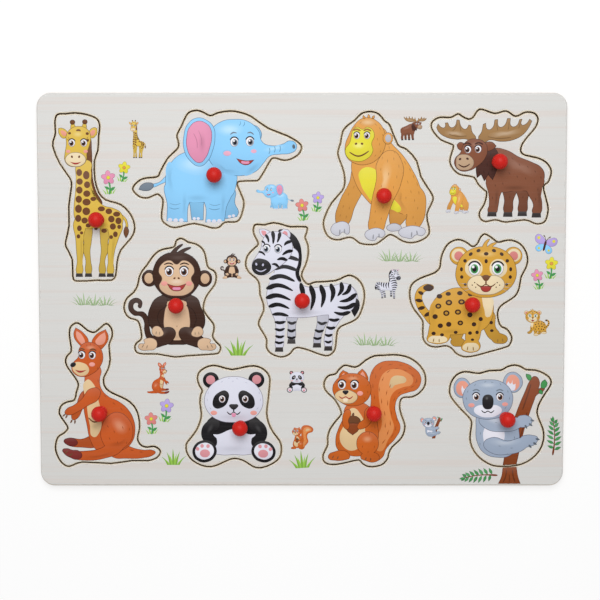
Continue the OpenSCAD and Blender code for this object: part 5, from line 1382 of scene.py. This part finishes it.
def traced(outlines, place, lift, fine):
    """Flat faces inside smooth closed curves through the outlines, each a hair above the last one."""
    curve = bpy.data.curves.new("outline", "CURVE")
    curve.dimensions = "3D"
    for k, outline in enumerate(outlines):
        spline = curve.splines.new("BEZIER")
        spline.bezier_points.add(len(outline) - 1)
        spline.use_cyclic_u = True
        across = max(x for x, *_ in outline) - min(x for x, *_ in outline)
        spline.resolution_u = CURVE_STEPS // (2 if across < SMALL_SHAPE else 1) // (1 if fine else 2)
        for point, (x, y, corner) in zip(spline.bezier_points, outline):
            point.co = (x, y, lift * k / len(outlines))
            point.handle_left_type = point.handle_right_type = "VECTOR" if corner else "AUTO"
    drawing = bpy.data.objects.new("outline", curve)
    bm = bmesh.new()
    bm.from_mesh(drawing.to_mesh())
    drawing.to_mesh_clear()
    bpy.data.objects.remove(drawing)
    bpy.data.curves.remove(curve)
    bmesh.ops.transform(bm, matrix=place, verts=bm.verts)
    bmesh.ops.edgenet_fill(bm, edges=bm.edges)
    bm.normal_update()
    bmesh.ops.reverse_faces(bm, faces=[f for f in bm.faces if f.normal.z < 0])
    return bm


def faded(bm):
    """Gives each face a middle, and returns the layer that rises from 0 at its edge to 1 there."""
    middle = bm.verts.layers.float.new("middle")
    hubs = bmesh.ops.poke(bm, faces=bm.faces)["verts"]
    for v in hubs:
        v[middle] = 1.0
    bmesh.ops.subdivide_edges(bm, edges=[e for v in hubs for e in v.link_edges], cuts=FADE_CUTS)
    return middle


def filmed(bm, sheet, sizes, level, ink, box, middle_ink=None, middle=None):
    """Makes flat faces a film of ink, so many levels above the print, that reaches into the wood."""
    bmesh.ops.translate(bm, verts=bm.verts, vec=(0, 0, level * sizes.film))
    made = bmesh.ops.extrude_face_region(bm, geom=bm.faces)["geom"]
    for v in made:
        if isinstance(v, bmesh.types.BMVert):
            v.co.z = PRINT_Z - sizes.ink_root
    bmesh.ops.recalc_face_normals(bm, faces=bm.faces)
    bmesh.ops.triangulate(bm, faces=bm.faces)
    colour = bm.loops.layers.float_color.new("ink")
    airbrush = bm.loops.layers.uv.new("airbrush")
    low, high = box
    size = high - low
    for face in bm.faces:
        for loop in face.loops:
            depth = loop.vert[middle] if middle else 0.0
            loop[colour] = (*ink.lerp(middle_ink or ink, depth * depth * (3 - 2 * depth)), 1.0)
            loop[airbrush].uv = ((loop.vert.co.x - low.x) / size.x, (loop.vert.co.y - low.y) / size.y)
    film = bpy.data.meshes.new("film")
    bm.to_mesh(film)
    bm.free()
    sheet.from_mesh(film)
    bpy.data.meshes.remove(film)


def toned(ink, tone):
    """An ink made darker by a tone under 1, or lighter in its own hue and a little whiter by one over 1."""
    colour = Vector(linear(INKS[ink]))
    if tone <= 1:
        return colour * tone
    return Vector(part ** (1 / tone) for part in colour).lerp(Vector((1, 1, 1)), (tone - 1) * WHITENING)


def extent(faces):
    """The lower left and upper right corner round these faces."""
    places = [v.co.xy for f in faces for v in f.verts]
    return (Vector((min(p.x for p in places), min(p.y for p in places))),
            Vector((max(p.x for p in places), max(p.y for p in places))))


def overlap(a, b):
    """Whether two boxes, each given by two corners, overlap."""
    return a[0].x < b[1].x and b[0].x < a[1].x and a[0].y < b[1].y and b[0].y < a[1].y


def printed(sheet, picture, place, scale, sizes):
    """Prints the steps of a picture, set down by place, into a sheet of films."""
    covered, boxes = [], {}
    for ink, tone, kind, outlines in picture.steps:
        bm = traced(outlines, place, sizes.film / MM * SPREAD, scale > SMALL_SCALE)
        extents = [extent([f]) for f in bm.faces]
        level = 1 + max((top for box, top in covered if any(overlap(box, one) for one in extents)), default=0)
        if kind != "soft":
            boxes[ink] = extent(bm.faces)
        body = toned(ink, tone)
        if kind == "soft":
            filmed(bm, sheet, sizes, level, toned(ink, 1), boxes[ink], body, faded(bm))
        elif kind == "plain":
            filmed(bm, sheet, sizes, level, body, boxes[ink])
        else:
            inner = bm.copy()
            line = Vector(a * b for a, b in zip(body, OUTLINE_TONE))
            filmed(bm, sheet, sizes, level, line, boxes[ink])
            ring = bmesh.ops.inset_region(inner, faces=inner.faces, thickness=sizes.outline * scale,
                                          use_boundary=True, use_even_offset=True)["faces"]
            bmesh.ops.delete(inner, geom=ring, context="FACES")
            level += 1
            filmed(inner, sheet, sizes, level, body, boxes[ink])
        covered += [(box, level) for box in extents]


def drawn(picture):
    """A picture with all its steps."""
    made = Picture()
    picture(made)
    return made


def print_sheet(name, body, sheet, colours):
    """A new object of printed films that rides on this body."""
    print_object = placed(name, sheet, [printed_ink(colours)])
    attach(print_object, body)


def piece_corner(animal):
    """The lower left corner of an animal's cut line, on the print."""
    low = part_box(f"{animal}_piece")[0]
    return Vector((low[0] - CUT_HALF, low[1] - CUT_HALF, PRINT_Z))


class PUZZLE_OT_animal_pictures(bpy.types.Operator):
    """Prints the pictures on the eleven animal pieces"""
    bl_idname = "puzzle.animal_pictures"
    bl_label = "Animal pictures"

    def execute(self, context):
        scene = context.scene
        for picture in PICTURES:
            animal = picture.__name__
            sheet = bmesh.new()
            place = Matrix.Translation(piece_corner(animal)) @ Matrix.Scale(MM, 4)
            printed(sheet, drawn(picture), place, 1, scene.puzzle_sizes)
            print_sheet(f"{animal}_picture", animal, sheet, scene.puzzle_colours)
        return {"FINISHED"}


class PUZZLE_OT_small_animals(bpy.types.Operator):
    """Prints the small animals beside the windows"""
    bl_idname = "puzzle.small_animals"
    bl_label = "Small animals"

    def execute(self, context):
        scene = context.scene
        sheet = bmesh.new()
        for picture, x, y, flipped in SMALL_ANIMALS:
            low, high = (Vector(corner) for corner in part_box(f"{picture.__name__}_piece"))
            middle = (high - low) / 2 / MM
            place = (Matrix.Translation((x * MM, y * MM, PRINT_Z)) @ Matrix.Scale(MM * SMALL_SCALE, 4)
                     @ Matrix.Scale(-1 if flipped else 1, 4, (1, 0, 0))
                     @ Matrix.Translation((-middle.x, -middle.y, 0)))
            printed(sheet, drawn(picture), place, SMALL_SCALE, scene.puzzle_sizes)
        print_sheet("small_animals", "board", sheet, scene.puzzle_colours)
        return {"FINISHED"}


class PUZZLE_OT_plants(bpy.types.Operator):
    """Prints the grass, flowers, leaves and butterfly between the windows"""
    bl_idname = "puzzle.plants"
    bl_label = "Plants"

    def execute(self, context):
        scene = context.scene
        sheet = bmesh.new()
        for picture, x, y, scale, turn in PLANTS:
            place = (Matrix.Translation((x * MM, y * MM, PRINT_Z)) @ Matrix.Rotation(radians(turn), 4, "Z")
                     @ Matrix.Scale(MM * scale, 4))
            printed(sheet, drawn(picture), place, PLANT_LINE, scene.puzzle_sizes)
        print_sheet("printed_plants", "board", sheet, scene.puzzle_colours)
        return {"FINISHED"}


# Stage, with its lengths in metres

FLOOR_HALF, FLOOR_DROP = 3.0, 0.00002  # half of the floor's side, and how far it lies below the board
FLOOR_GLOW = 0.72  # share of plain white in the floor, as the camera sees it
LAMPS = (  # name, place, size and power
    ("upper soft box", (-0.03, 0.4, 0.9), 0.6, 7.1),
    ("front soft box", (0.35, -0.6, 1.3), 1.2, 0.9))
WORLD_LIGHT = 0.4
VIEW_TILT = radians(3.3)  # the camera stands this far towards the upper edge
VIEW_DISTANCE = 0.7
VIEW_MIDDLE = (-0.0011, -0.0052)  # the point of the print in the middle of the view
LENS, SENSOR = 73.75, 36  # millimetres


class PUZZLE_OT_stage(bpy.types.Operator):
    """Sets the floor, the lamps, the world and the camera"""
    bl_idname = "puzzle.stage"
    bl_label = "Stage"

    def execute(self, context):
        scene = context.scene
        bm = bmesh.new()
        bmesh.ops.create_grid(bm, x_segments=1, y_segments=1, size=FLOOR_HALF)
        bmesh.ops.translate(bm, verts=bm.verts, vec=(0, 0, -FLOOR_DROP))
        placed("floor", bm, [self.floor_material(scene.puzzle_colours)])
        for name, place, size, power in LAMPS:
            self.lamp(name, place, size, power)

        world = bpy.data.worlds.new("studio")
        world.use_nodes = True
        background = world.node_tree.nodes["Background"].inputs
        background["Color"].default_value = (1, 1, 1, 1)
        background["Strength"].default_value = WORLD_LIGHT
        scene.world = world
        scene.view_settings.view_transform = "Standard"

        camera = bpy.data.cameras.new("camera")
        camera.sensor_width = SENSOR
        camera.lens = LENS
        view = bpy.data.objects.new("camera", camera)
        view.location = (Vector((*VIEW_MIDDLE, PRINT_Z))
                         + VIEW_DISTANCE * Vector((0, sin(VIEW_TILT), cos(VIEW_TILT))))
        view.rotation_euler = (-VIEW_TILT, 0, 0)
        scene.collection.objects.link(view)
        scene.camera = view
        return {"FINISHED"}

    @staticmethod
    def floor_material(colours):
        """A plain pale floor, nearly white to the camera, that still takes the board's shadow."""
        made, tree, surface, place = material("floor", Specular_IOR_Level=0.1)
        specks = group(tree, speckle(), {"Place": place, "Fineness": 400.0})["Specks"]
        colour = mixed(tree, remapped(tree, specks, 0.2, 0.9, 0.0, 0.02), opaque(colours.floor),
                       tint("floor dust"))
        dressed(tree, surface, colour, remapped(tree, specks, 0.0, 1.0, 0.85, 0.95))
        ray = node(tree, "LightPath").outputs
        bent = worked(tree, "MAXIMUM", ray["Is Glossy Ray"], ray["Is Transmission Ray"])
        glow = worked(tree, "MULTIPLY", worked(tree, "MAXIMUM", ray["Is Camera Ray"], bent), FLOOR_GLOW)
        white = node(tree, "Emission", {"Color": (1, 1, 1, 1), "Strength": 1.0}).outputs[0]
        both = node(tree, "MixShader", {0: glow, 1: surface.outputs[0], 2: white})
        tree.links.new(both.outputs[0], tree.nodes["Material Output"].inputs["Surface"])
        return made

    @staticmethod
    def lamp(name, place, size, power):
        """Hangs a square soft box that points at the board's middle."""
        light = bpy.data.lights.new(name, "AREA")
        light.size = size
        light.energy = power
        lamp = bpy.data.objects.new(name, light)
        lamp.location = place
        lamp.rotation_euler = (-Vector(place)).to_track_quat("-Z", "Y").to_euler()
        bpy.context.scene.collection.objects.link(lamp)


class PUZZLE_PT_panel(bpy.types.Panel):
    """Lists the puzzle's sizes, colours and pieces"""
    bl_label = "Peg puzzle"
    bl_idname = "PUZZLE_PT_panel"
    bl_space_type = "VIEW_3D"
    bl_region_type = "UI"
    bl_category = "Puzzle"

    def draw(self, context):
        for settings in (context.scene.puzzle_sizes, context.scene.puzzle_colours):
            for name in settings.__annotations__:
                self.layout.prop(settings, name)
        for operator in OPERATORS:
            self.layout.operator(operator.bl_idname)


OPERATORS = (
    PUZZLE_OT_plain_board, PUZZLE_OT_printed_board, PUZZLE_OT_animal_pieces, PUZZLE_OT_animal_pictures,
    PUZZLE_OT_small_animals, PUZZLE_OT_plants, PUZZLE_OT_knobs, PUZZLE_OT_screws, PUZZLE_OT_stage)
CLASSES = (PuzzleSizes, PuzzleColours, *OPERATORS, PUZZLE_PT_panel)


def register():
    for cls in CLASSES:
        bpy.utils.register_class(cls)
    bpy.types.Scene.puzzle_sizes = PointerProperty(type=PuzzleSizes)
    bpy.types.Scene.puzzle_colours = PointerProperty(type=PuzzleColours)


def unregister():
    del bpy.types.Scene.puzzle_colours
    del bpy.types.Scene.puzzle_sizes
    for cls in reversed(CLASSES):
        bpy.utils.unregister_class(cls)


def main():
    """Builds the whole puzzle."""
    register()
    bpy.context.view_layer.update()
    for operator in OPERATORS:
        getattr(bpy.ops.puzzle, operator.bl_idname.split(".")[1])()


if __name__ == "__main__":
    main()
